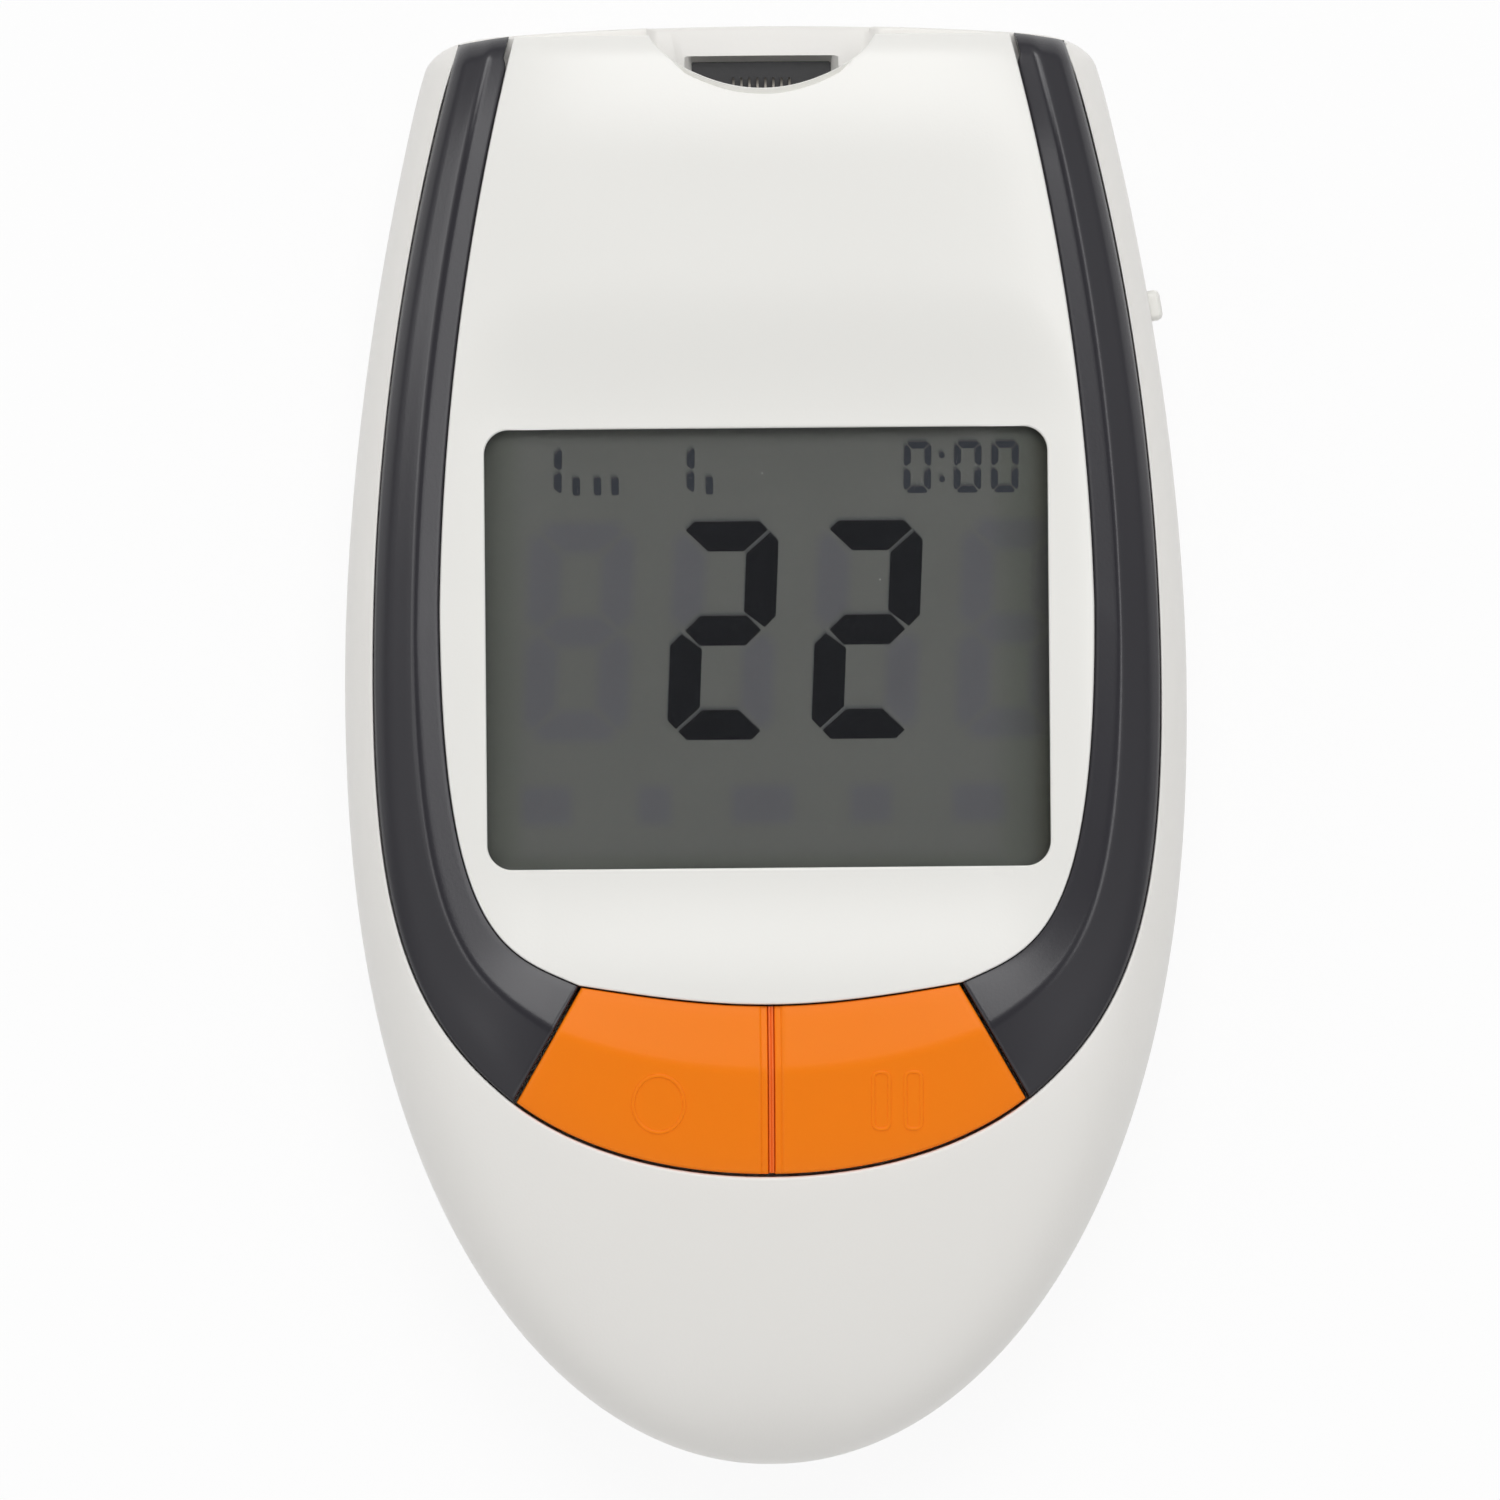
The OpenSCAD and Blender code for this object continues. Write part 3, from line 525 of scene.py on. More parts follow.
def board_material():
    """Green mask over copper: the tracks show as slightly lighter lines under it."""
    material, add = new_material("solder_mask")
    place = add("TexCoord").outputs["Object"]
    tracks = add("TexBrick", place, srgb(24, 104, 58), srgb(20, 92, 50), Mortar=srgb(46, 132, 76),
                 Scale=420.0, Mortar_Size=0.03)
    gloss = add("MapRange", add("TexNoise", place, Scale=1800.0, Detail=2.0), To_Min=0.22, To_Max=0.36)
    bump = add("Bump", Height=tracks.outputs["Fac"], Strength=0.3, Distance=0.04 * MM)
    add("OutputMaterial", add("BsdfPrincipled", Base_Color=tracks, Roughness=gloss, Normal=bump))
    return material


def silicone_material():
    """Grey silicone with the fine dark layers that carry the current up to the glass."""
    material, add = new_material("striped_silicone")
    place = add("TexCoord").outputs["Object"]
    layers = add("TexWave", place, Scale=900.0, bands_direction="X").outputs["Fac"]
    tone = colour_stops(add("ValToRGB", layers), (0.0, srgb(60, 58, 56)), (0.45, srgb(206, 200, 190)))
    add("OutputMaterial", add("BsdfPrincipled", Base_Color=tone, Roughness=0.6))
    return material


EPOXY = moulded("black_epoxy", (34, 34, 36), 0.5, grain=0.3, mottle=0.08)
STEEL = moulded("zinc_steel", (168, 170, 174), 0.32, grain=0.15, mottle=0.06, metallic=1.0)
BLACK = moulded("black_plastic", (51, 51, 53), 0.4, grain=0.2, mottle=0.06)
for node, material in (("circuit_board", board_material()), ("board_chips", EPOXY), ("buzzer", EPOXY),
                       ("board_screws_set", STEEL), ("lcd_connector", silicone_material()),
                       ("lcd_frame", BLACK)):
    paint(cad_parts[node], material)

# ---- Switches and plungers ----
# Two low push switches under the keys: a square black body with a round grey plunger that rides
# with its key. Each plunger is turned with a rounded top.
SWITCH = moulded("switch_black", (40, 40, 42), 0.45, grain=0.2, mottle=0.05)
NYLON = moulded("grey_nylon", (200, 198, 192), 0.45, grain=0.2, mottle=0.02)
paint(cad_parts["switch_bodies"], SWITCH)


def plunger(node, body):
    low, high = corners(node)
    cx, cy = (low[:2] + high[:2]) / 2
    radius = (high[0] - low[0]) / 2
    profile = [(radius * 0.9, low[2]), (radius, low[2] + 0.08), (radius, high[2] - 0.2),
               (radius * 0.93, high[2] - 0.07), (radius * 0.8, high[2]), (radius * 0.3, high[2])]
    pin = turned(node + "_turned", profile, lambda u, v, z: (cx + u, cy + v, z), 32)
    settle(pin, NYLON, node, body)


plunger("set_plunger", "set_key")
plunger("memory_plunger", "memory_key")

# ---- Strip connector ----
# A black moulded block behind the slot. A roof covers its back half, and in front of it lies an
# open well with two cheeks that funnel the test strip onto the tips of eight leaf springs.
# The springs are gold plated; their colour is painted greyer and darker, as gold looks in the slot's shade.
SHADED_GOLD = moulded("gold_plate_painted_shade", (128, 124, 118), 0.5, grain=0.05, mottle=0.04, metallic=1.0)
DECK_Z, DECK_T = corners("trim_left")[0][2], 1.2
PORT_W, PORT_END = 10.6, HALF_L - 2.05
PORT_BACK = PORT_END - 4.2
SLOT_TAPER = (0.5, 0.38)
STRIP_Z = DECK_Z - 0.7
CONTACTS, CONTACT_PITCH = 8, 0.55


def strip_connector():
    low, high = corners("strip_connector")
    step = PORT_BACK - 0.2
    rim_z = DECK_Z - DECK_T - 0.05
    floor_z = low[2] + 0.4
    half = PORT_W / 2 - SLOT_TAPER[0]
    side_w, front_w, passage_h = 0.35, 0.3, 1.4
    well_end = PORT_END - SLOT_TAPER[1]
    block = prism("connector_block", box_outline(low[0], high[0], low[1], step), low[2], high[2])
    trough = box_outline(-half - side_w, half + side_w, step - 1, well_end + front_w)
    combine(block, [prism("trough", trough, low[2], rim_z)], "UNION")
    mouth = box_outline(1 - half, half - 1, low[1] - 1, HALF_L)
    passage = prism("passage", mouth, STRIP_Z, STRIP_Z + passage_h)
    well = prism("well", box_outline(-half, half, step, well_end), floor_z, DECK_Z)
    combine(block, [passage, well], "DIFFERENCE")
    cheeks = []
    for side in (-1, 1):
        plan = [(half + 0.1, step - 0.1), (half + 0.1, PORT_END - 0.15), (half - 0.05, PORT_END - 0.2),
                (3.7, PORT_END - 0.75), (3.55, PORT_END - 1.1), (3.4, step - 0.1)]
        cheek = prism("cheek", [(side * x, y) for x, y in plan[::side]], floor_z - 0.1, rim_z - 0.02)
        cheeks.append(soften(cheek, 0.16, 1))
    combine(block, cheeks, "UNION")
    soften(block, 0.07)
    settle(block, BLACK, "strip_connector")


def strip_contacts():
    """Leaf springs that leave the block's floor, rise to the strip and dip again at their tips."""
    _, y0, z0 = corners("strip_contacts")[0] + [0, 0, 0.1]
    rise = [(y0, z0), (y0 + 0.9, z0), (y0 + 1.6, z0 + 0.05), (PORT_BACK - 0.6, STRIP_Z - 0.1),
            (PORT_BACK + 0.6, STRIP_Z + 0.02), (PORT_BACK + 1.9, STRIP_Z - 0.02),
            (PORT_BACK + 2.55, STRIP_Z - 0.3), (PORT_BACK + 2.8, STRIP_Z - 0.75)]
    half_w, thick = 0.075, 0.09
    section = [(-half_w, 0), (-half_w, thick), (half_w, thick), (half_w, 0)]
    for k in range(CONTACTS):
        x = (k - (CONTACTS - 1) / 2) * CONTACT_PITCH
        rings = [[(x + u, y, z + v) for u, v in section] for y, z in rise]
        spring = skin("strip_spring_%d" % (k + 1), rings)
        settle(spring, SHADED_GOLD, "strip_contacts" if k == 0 else None)


strip_connector()
strip_contacts()

# ---- Strip ejector ----
# A slide of off-white plastic inside the right wall. Its small rounded ridge stands out of the
# side for the thumb, and its arm reaches across to push a used strip out of the slot.
GREY_PLASTIC = moulded("slide_plastic", (233, 232, 227), 0.42, grain=0.2, mottle=0.01)


def ejector():
    top_z = corners("ejector_slider")[1][2]
    inner_x, slide_t = -(WALL + 0.7 + 1.2), 1.2
    arm_z1 = PARTING + 3.1
    arm_z0 = arm_z1 - 2
    ridge_half, ridge_top, ridge_out = RIDGE_L / 2, SLOT_H / 2 - SLIP, 0.9
    # the ridge is a rounded bar that narrows towards the thumb
    slices = []
    for out, less in ((inner_x + 0.5, 0.0), (-0.1, 0.0), (ridge_out - 0.35, 0.0), (ridge_out - 0.12, 0.1),
                      (ridge_out, 0.32)):
        outline = rounded(2 * (ridge_half - less), 2 * (ridge_top - less), 0.45 - less * 0.6, 0, 0, 5)
        slices.append([(*at_ejector([(out, a)])[0], PARTING + b) for a, b in outline])
    bar = skin("strip_ejector", slices)
    slide_plan = at_ejector(box_outline(inner_x, inner_x + slide_t, -3, 3))
    arm_plan = box_outline(-1.2, EJECT_X + inner_x + 0.6, EJECT_Y - 1.4, EJECT_Y + 0.6)
    finger_plan = box_outline(-1.2, 1.2, EJECT_Y - 1.0, EJECT_Y + 0.6)
    combine(bar, [prism("slide", slide_plan, PARTING - 1.3, arm_z1), prism("arm", arm_plan, arm_z0, arm_z1),
                  prism("finger", finger_plan, arm_z0, top_z)], "UNION")
    soften(bar, 0.12)
    settle(bar, GREY_PLASTIC, "ejector_slider", "ejector")


ejector()

# ---- Display ----
# A grey liquid crystal glass whose printed segments show a reading, a date and a time. The unlit
# segments show as faint purple ghosts. A clear acrylic lens, a little dusty, lies over the glass.
lens_low, lens_high = corners("display_lens")
LENS_W, LENS_L, _ = lens_high - lens_low
LENS_Y = (lens_low[1] + lens_high[1]) / 2
WINDOW_W, WINDOW_L, WINDOW_Y = LENS_W - 1.3, LENS_L - 1.35, LENS_Y - 0.13
WINDOW_R = 1.7
GLASS_TOP = corners("lcd_glass")[1][2]


def polariser(name, tint=(1.0, 1.0, 1.0)):
    """Grey polariser over the crystal, greener towards its sides and lower end, and darker there with
    painted shade of the window's edge.
    """
    material, add = new_material(name)
    stops = [(at, [c * t for c, t in zip(srgb(*chip), tint)] + [1.0]) for at, chip in
             ((0.0, (79, 80, 77)), (0.3, (74, 76, 71)), (0.75, (66, 68, 63)), (1.0, (54, 55, 48)))]
    place = add("TexCoord").outputs["Object"]
    middle = (-0.6 * MM, WINDOW_Y * MM, 0)
    off = add("SeparateXYZ", add("VectorMath", place, middle, operation="SUBTRACT")).outputs
    # painted shade: the glass darkens towards the window's sides and lower end
    side = add("MapRange", add("Math", off["X"], operation="ABSOLUTE"),
               From_Min=(WINDOW_W / 2 - 3.4) * MM, From_Max=(WINDOW_W / 2 + 0.2) * MM)
    end = add("MapRange", off["Y"], From_Min=(1.2 - WINDOW_L / 2) * MM, From_Max=(-1.6 - WINDOW_L / 2) * MM)
    tone = colour_stops(add("ValToRGB", add("Math", side, end, operation="MAXIMUM")), *stops)
    cloud = add("TexNoise", place, Scale=140.0, Detail=3.0)
    haze = add("MixRGB", 0.1, tone, cloud, blend_type="MULTIPLY")
    add("OutputMaterial", add("BsdfPrincipled", Base_Color=haze, Roughness=0.38, Specular_IOR_Level=0.15))
    return material


def lens_material():
    """Clear acrylic with a few pale specks of dust and short hairline scratches."""
    material, add = new_material("clear_acrylic")
    place = add("TexCoord").outputs["Object"]
    specks = add("TexVoronoi", place, Scale=260.0)
    mote = add("MapRange", specks, From_Min=0.024, From_Max=0.012, To_Max=0.5)
    stretched = add("Mapping", place, Rotation=(0, 0, 0.9), Scale=(1.0, 0.06, 1.0))
    strokes = add("TexVoronoi", stretched, Scale=420.0)
    scratch = add("MapRange", strokes, From_Min=0.012, From_Max=0.004, To_Max=0.16)
    acrylic = add("BsdfPrincipled", Base_Color=(0.97, 0.975, 0.975, 1), Roughness=0.04, IOR=1.49,
                  Transmission_Weight=1.0)
    motes = add("BsdfDiffuse", Color=srgb(190, 190, 188))
    dusty = add("MixShader", add("Math", mote, scratch, operation="MAXIMUM"), acrylic, motes)
    in_shadow = add("LightPath").outputs["Is Shadow Ray"]
    add("OutputMaterial", add("MixShader", in_shadow, dusty, add("BsdfTransparent")))
    return material


def segment_outlines(w, h, flat, upright, c, g):
    """Outlines of the seven bars of a digit w by h, from its lower left corner, keyed a to g.

    flat and upright are the thicknesses of the two kinds of bar. The digit's corners are cut off
    by c, and the bars meet there at a mitre with a gap g."""
    m, mid, wedge, tip = g * 0.35, h / 2, flat / 2, upright * 0.45
    top = [(c, h), (c / 2 + m, h - c / 2 + m), (upright + 2 * m, h - flat), (w - upright - 2 * m, h - flat),
           (w - c / 2 - m, h - c / 2 + m), (w - c, h)]
    middle = [(tip, mid), (tip + wedge, mid - wedge), (w - tip - wedge, mid - wedge), (w - tip, mid),
              (w - tip - wedge, mid + wedge), (tip + wedge, mid + wedge)]
    upper_right = [(w - c / 2 + m, h - c / 2 - m), (w - upright, h - flat - 2 * m),
                   (w - upright, mid + wedge + g), (w - tip * 0.75, mid + g * 0.9), (w, mid + tip),
                   (w, h - c)]
    return {"a": top, "d": [(x, h - y) for x, y in top], "g": middle,
            "b": upper_right, "c": [(x, h - y) for x, y in upper_right],
            "f": [(w - x, y) for x, y in upper_right], "e": [(w - x, h - y) for x, y in upper_right]}


LIT = {"": "", "0": "abcdef", "1": "bc", "2": "abdeg"}


def digit(at, size, bars, slant):
    """Outlines of some bars of one digit on the glass, leaning to the right."""
    outlines = segment_outlines(*size)
    return [[(at[0] + x + slant * y, at[1] + y) for x, y in outlines[key]] for key in bars]


def print_on_glass(name, shapes, material, lift, film=0.002):
    """One mesh of flat marks that lie a lift above the glass, film thick."""
    verts, faces = [], []
    for order, shape in enumerate(shapes):
        z = GLASS_TOP + lift + 0.0003 * (order % 7)   # neighbours may overlap
        area = sum(a[0] * b[1] - b[0] * a[1] for a, b in zip(shape, shape[1:] + shape[:1]))
        shape = shape if area > 0 else shape[::-1]
        n, base = len(shape), len(verts)
        verts += [(x, y, z) for x, y in shape] + [(x, y, z + film) for x, y in shape]
        faces += [tuple(base + k for k in reversed(range(n))), tuple(base + n + k for k in range(n))]
        faces += [(base + k, base + (k + 1) % n, base + n + (k + 1) % n, base + n + k) for k in range(n)]
    settle(solid(name, verts, faces), material)


# width, height, thickness of the flat and upright bars, corner and gap
BIG = (7.15, 14.93, 2.05, 2.18, 1.35, 0.24)
CLOCK = (1.86, 3.5, 0.46, 0.46, 0.34, 0.11)
DATE = (1.5, 3.35, 0.42, 0.52, 0.3, 0.1)
BIG_Y, SMALL_Y = 0.52, 17.28


def grown(shape, by):
    """The outline with each point moved by a distance away from its middle, in x and in y."""
    middle = np.mean(shape, axis=0)
    return [(x + by * np.sign(x - middle[0]), y + by * np.sign(y - middle[1])) for x, y in shape]


def readings():
    """The lit marks, and the ghosts of the unlit ones."""
    lit, small, faint = [], [], []
    for x, shown in ((-16.78, ""), (-6.92, "2"), (2.94, "2"), (12.8, "")):
        lit += digit((x, BIG_Y), BIG, LIT[shown], 0.045)
        faint += digit((x, BIG_Y), BIG, [k for k in "abcdefg" if k not in LIT[shown]], 0.045)
    for x in (9.42, 12.85, 15.4):
        small += digit((x, SMALL_Y), CLOCK, LIT["0"], 0.025)
    small += [ring_outline(12.06, SMALL_Y + 1.75 + rise, 0.21, 14) for rise in (-0.82, 0.82)]
    for x in (-15.47, -6.4):
        small += digit((x, SMALL_Y), DATE, LIT["1"], 0.02)
    small += [rounded(0.5, 1.2, 0.12, x, SMALL_Y + 0.62, 3) for x in (-12.95, -11.5, -10.3, -3.85)]
    for k, wide in enumerate((3.4, 2.2, 4.2, 2.8, 3.6)):
        faint.append(rounded(wide, 2.6, 0.5, -15.2 + 7.4 * k, -3.9, 4))

    def cast(share):
        """The lit marks, moved part of the way that the light moves their shade, for the painted shade films.
        """
        return [[(x - 0.1 * share, y + 0.28 * share) for x, y in f] for f in lit + small]

    # the unlit bars are blurred, and the soft shade that the lit ones throw on the mirror
    # behind them is painted as darker films
    for name, film, tint, shapes, lift in (
            ("ghost_haze", "crystal_haze", (0.94, 0.93, 1.0), [grown(f, 0.2) for f in faint], 0.001),
            ("ghost_bars", "crystal_ghost", (0.87, 0.85, 1.0), [grown(f, -0.15) for f in faint], 0.003),
            ("shade_outer", "crystal_painted_shade_outer", (0.8, 0.8, 0.84), cast(1.0), 0.006),
            ("shade_inner", "crystal_shade", (0.55, 0.56, 0.62), cast(0.5), 0.009)):
        print_on_glass(name, shapes, polariser(film, tint), lift)
    for name, film, colour, shapes in (("display_ink", "crystal_dark", (12, 13, 17), lit),
                                       ("display_small_ink", "crystal_pale", (42, 44, 49), small)):
        ink = moulded(film, colour, 0.4, grain=0.0, mottle=0.05, specular=0.05)
        print_on_glass(name, shapes, ink, 0.012, 0.006)


paint(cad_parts["lcd_glass"], polariser("grey_polariser"))
readings()


def display_lens():
    outline = rounded(LENS_W, LENS_L, WINDOW_R + 0.3, 0, LENS_Y, 10)
    lens = prism("display_lens_clear", outline, lens_low[2], lens_high[2])
    soften(lens, 0.1)
    settle(lens, lens_material(), "display_lens")


display_lens()

# ---- Front shell ----
# The same white plastic as the rear. It shows as a rim outside the dark trims, as the whole nose,
# and as the ledge in front of the strip slot. Its tray, the U-shaped deck, carries the lid pieces.
CASE_H = DECK_Z + 5.2
NOSE_FROM, END_FROM, END_DROP = -2.0, 40.0, 1.6
RIM_W, TRIM_W = 2.0, 4.6
X_OUT = HALF_W - RIM_W
X_IN = X_OUT - TRIM_W
KEY_TOP, KEY_LOW = 17.6, 29.4
CUT_IN = np.array([X_IN - 9.3, 1.4 - KEY_TOP])
CUT_OUT = np.array([X_OUT - 9.3, 5.2 - KEY_LOW])
CENTRE = np.array([0.0, WINDOW_Y])
STEM_R = 1.6


def crown(y, inset=0.0):
    """Height of the middle line of the case."""
    y = np.asarray(y, float)
    nose = np.clip((NOSE_FROM - y) / (NOSE_FROM + HALF_L - inset), 0, 1)
    drop = END_DROP * np.clip((y - END_FROM) / (HALF_L - END_FROM), 0, 1) ** 2
    rise = CASE_H - inset - PARTING
    return np.where(y < NOSE_FROM, PARTING + rise * (1 - nose ** 2.2) ** (1 / 2.2), CASE_H - inset - drop)


def bezier(points, t):
    """Points on a Bezier curve of any order."""
    points = [np.asarray(p, float)[None, :] for p in points]
    t = np.asarray(t, float)[:, None]
    while len(points) > 1:
        points = [a * (1 - t) + b * t for a, b in zip(points, points[1:])]
    return points[0]


def edge(stretches, counts):
    """Joined curves as one row of points."""
    rows = [bezier(curve, grade(n, power)) for curve, (n, power) in zip(stretches, counts)]
    return np.concatenate([rows[0]] + [r[1:] for r in rows[1:]])


TRIM_OUT = [[(X_OUT - 6.16, HALF_L - 1.2), (X_OUT, HALF_L / 2 + 2), (X_OUT, WIDEST_Y)],
            [(X_OUT, WIDEST_Y), (X_OUT, WIDEST_Y - 15), (X_OUT - 2, CUT_OUT[1] + 5.9), CUT_OUT]]
TRIM_IN = [[(X_IN - 5.46, HALF_L - 0.65), (X_IN - 0.4, HALF_L - 20.3), (X_IN, WIDEST_Y + 5.5)],
           [(X_IN, WIDEST_Y + 5.5), (X_IN, WIDEST_Y - 17.5), (X_IN - 4.4, CUT_IN[1] + 2.2), CUT_IN]]
KEY_OUT = [[CUT_OUT, CUT_OUT + [-4.6, -3.6], (6.5, -KEY_LOW), (0, -KEY_LOW)]]
KEY_IN = [[CUT_IN, CUT_IN + [-4.3, -0.7], (4.5, -KEY_TOP), (0, -KEY_TOP)]]
U_COUNTS = [(70, 1.7), (50, 1), (40, 1)]
u_out = edge(TRIM_OUT + KEY_OUT, U_COUNTS)
u_in = edge(TRIM_IN + KEY_IN, U_COUNTS)


def sideways(run):
    """Unit vectors to the left of the runs, level with the table."""
    return np.column_stack([-run[:, 1], run[:, 0]]) / np.hypot(run[:, 0], run[:, 1])[:, None]


def moved(line, distance):
    """The row of points, moved out by distance from the middle of the case."""
    side = sideways(np.gradient(line, axis=0))
    side *= np.where(np.sum(side * (line - CENTRE), axis=1) < 0, -1, 1)[:, None]
    return line + side * distance


def mirrored(right):
    """Closed outline from its right half, which runs from the strip end to the nose."""
    left = right[::-1] * [-1, 1]
    return np.concatenate([right, left[left[:, 0] < -1e-6]])


def reach(outline, angles):
    """Distance from CENTRE to the outline along each angle. Each ray meets the outline once."""
    rel = outline - CENTRE
    start = np.arctan2(rel[:, 1], rel[:, 0])
    order = np.argsort(start)
    rel, start = rel[order], start[order]
    nearest = np.searchsorted(start, angles, side="right") - 1
    a, b = rel[nearest % len(rel)], rel[(nearest + 1) % len(rel)]
    side = b - a
    across = np.cos(angles) * side[:, 1] - np.sin(angles) * side[:, 0]
    return (a[:, 0] * side[:, 1] - a[:, 1] * side[:, 0]) / across


def arch(share):
    """Flat-topped section of the case: 1 in the middle, 0 at the side."""
    return (1 - share ** 4) ** 0.25


def case_height(x, y, inset=0.0):
    """Height of the case over a point, or just under the parting line outside it."""
    fillet = end_fillet(y, inset)
    half = np.maximum(half_width(y, inset) - fillet, 1e-6)
    rise = crown(y, inset) - 0.8 * fillet - PARTING
    share = np.clip(np.abs(x) / half, 0, 1)
    inside = (np.abs(x) < half) & (y < HALF_L - inset) & (y > inset - HALF_L)
    return np.where(inside, PARTING + rise * arch(share), PARTING - 1)


def along(angles, distance):
    return CENTRE[0] + np.cos(angles) * distance, CENTRE[1] + np.sin(angles) * distance


def reach_height(angles, height, inset=0.0, start=0.0):
    """Distance at which the case falls to a height, along each angle."""
    near = np.full(len(angles), 0.0) + start
    far = np.full(len(angles), 70.0)
    for _ in range(40):
        half = (near + far) / 2
        above = case_height(*along(angles, half), inset) > height
        near, far = np.where(above, half, near), np.where(above, far, half)
    return near


def angle_of(point):
    return math.atan2(point[1] - CENTRE[1], point[0] - CENTRE[0])


def rays(extra, count):
    """Angles all round CENTRE, with a close pair of them at each extra point and its mirror image."""
    found = list(np.linspace(-math.pi, math.pi, count, endpoint=False) + 1e-3)
    both_sides = [(side * x, y) for x, y in extra for side in (-1, 1)]
    found += [angle_of(point) + step for point in both_sides for step in (-2e-4, 2e-4)]
    found = np.unique(np.round(found, 7))
    return found[(found > -math.pi) & (found <= math.pi)]


def rows_to_piece(name, angles, rows):
    """Closed solid of which each row is a (distance, height) pair per angle."""
    rings = [np.column_stack([*along(angles, distance), np.broadcast_to(height, angles.shape)])
             for distance, height in rows]
    return skin(name, rings, closed_loop=True, flipped=True)


def front_shell():
    tray = mirrored(np.concatenate([[[u_out[0][0] - 0.1, HALF_L + 2]], u_out]))
    hole_side = moved(u_in, -2.0)
    hole_side = hole_side[hole_side[:, 1] < PORT_BACK]
    angles_at = [u_out[0], (19.5, 49.2)]
    holes = []
    for half, end in ((PORT_W / 2, PORT_END), (PORT_W / 2 - SLOT_TAPER[0], PORT_END - SLOT_TAPER[1])):
        slot = [[half - 0.02, end], [half, PORT_BACK], [hole_side[0][0] + 0.05, PORT_BACK]]
        holes.append(mirrored(np.concatenate([slot, hole_side])))
        angles_at += [(half, PORT_BACK), (half, end)]
    angles = rays(angles_at, 760)
    tray_r, hole_r, foot_r = (reach(outline, angles) for outline in (tray, *holes))
    foot_r = np.minimum(foot_r, hole_r)
    deck_r = reach_height(angles, DECK_Z)
    at_end = deck_r < tray_r
    lip_r = np.minimum(deck_r, tray_r)

    def deck_top(distance):
        """The deck, which slopes down to the case's end in front of the slot."""
        x, y = along(angles, distance)
        return DECK_Z - 0.3 * np.clip(y - PORT_END + 1.0, 0, None) * np.clip((7.9 - np.abs(x)) / 0.5, 0, 1)

    radius, side_steps, wall_steps = 0.25, 38, 10
    inner_r = np.maximum(lip_r - np.where(at_end, 0.5, 0.0), hole_r + 0.05)
    rows = [(r, deck_top(r)) for r in (hole_r, (hole_r + inner_r) / 2, inner_r)]
    for k, a in enumerate(quarter(6)):
        up_r = lip_r + radius * (1 - math.cos(a))
        up_z = case_height(*along(angles, up_r)) - radius * (1 - math.sin(a))
        end_r = lip_r - radius * (1 - math.sin(a))
        end_z = deck_top(end_r) - radius * (1 - math.cos(a))
        up_z = np.maximum(up_z, DECK_Z + 0.01 * k)
        rows.append((np.where(at_end, end_r, up_r), np.where(at_end, end_z, up_z)))
    top_z = rows[-1][1]
    for share in grade(side_steps)[1:]:
        z = top_z + (PARTING + GROOVE - top_z) * share
        rows.append((reach_height(angles, z, start=lip_r - 0.6), z))
    rows.append((rows[-1][0] - GROOVE, PARTING))
    for share in grade(wall_steps):
        z = PARTING + 0.01 + (DECK_Z - DECK_T - PARTING) * share
        rows.append((np.minimum(reach_height(angles, z, WALL), rows[-1][0] - 0.02), z))
    rows.append((foot_r, DECK_Z - DECK_T))
    shell = rows_to_piece("front_shell", angles, rows)
    cuts = [prism("slot", at_ejector(box_outline(*SLOT_PLAN)), PARTING - 1, PARTING + SLOT_H / 2)]
    for node in ("set_plunger", "memory_plunger"):
        low, high = corners(node)
        cuts.append(prism("stem_hole", ring_outline(*(low + high)[:2] / 2, STEM_R + 0.4), PARTING, CASE_H))
    combine(shell, cuts, "DIFFERENCE")
    for v in shell.data.vertices:
        v.co.y -= bow(v.co.x / MM, v.co.y / MM) * MM
    smooth(shell.data, 38)
    settle(shell, WHITE_SHELL, "front_housing")


front_shell()

# ---- Case screws ----
# Four zinc-plated cross-head screws go in from below, through the rear shell's deep holes and up
# into the front shell's bosses. From outside only their heads show, down in the holes.
paint(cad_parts["housing_screws"], STEEL)

# ---- Dark trims ----
# Two satin charcoal mouldings that run down both sides of the lid and turn in towards the keys.
# Each has a crease along it and is snapped into the tray; its end rounds over the strip end.
TRIM_DROP, CREASE_H, CREASE_SHARE, CREASE_R, SEAM = 0.35, 0.7, 0.38, 0.4, 0.03
FACET_EASE = 0.38
CHARCOAL = moulded("charcoal_plastic", (45, 44, 49), 0.26, grain=0.12, mottle=0.03, specular=0.38)


def lid_skin(points):
    """Height of the lid's outer skin over a row of points."""
    share = np.clip(np.abs(points[:, 0]) / half_width(points[:, 1]), 0, 0.999)
    return PARTING + (crown(points[:, 1]) - PARTING) * arch(share)


def over_end(y):
    """Fall of an edge of a trim as it rounds over the strip end."""
    length, depth = 1.7, 2.3
    d = np.clip(y - (y[0] + 0.12 - length), 0, length) * (y[0] > END_FROM)
    return depth * (1 - np.sqrt(1 - (d / length) ** 2))


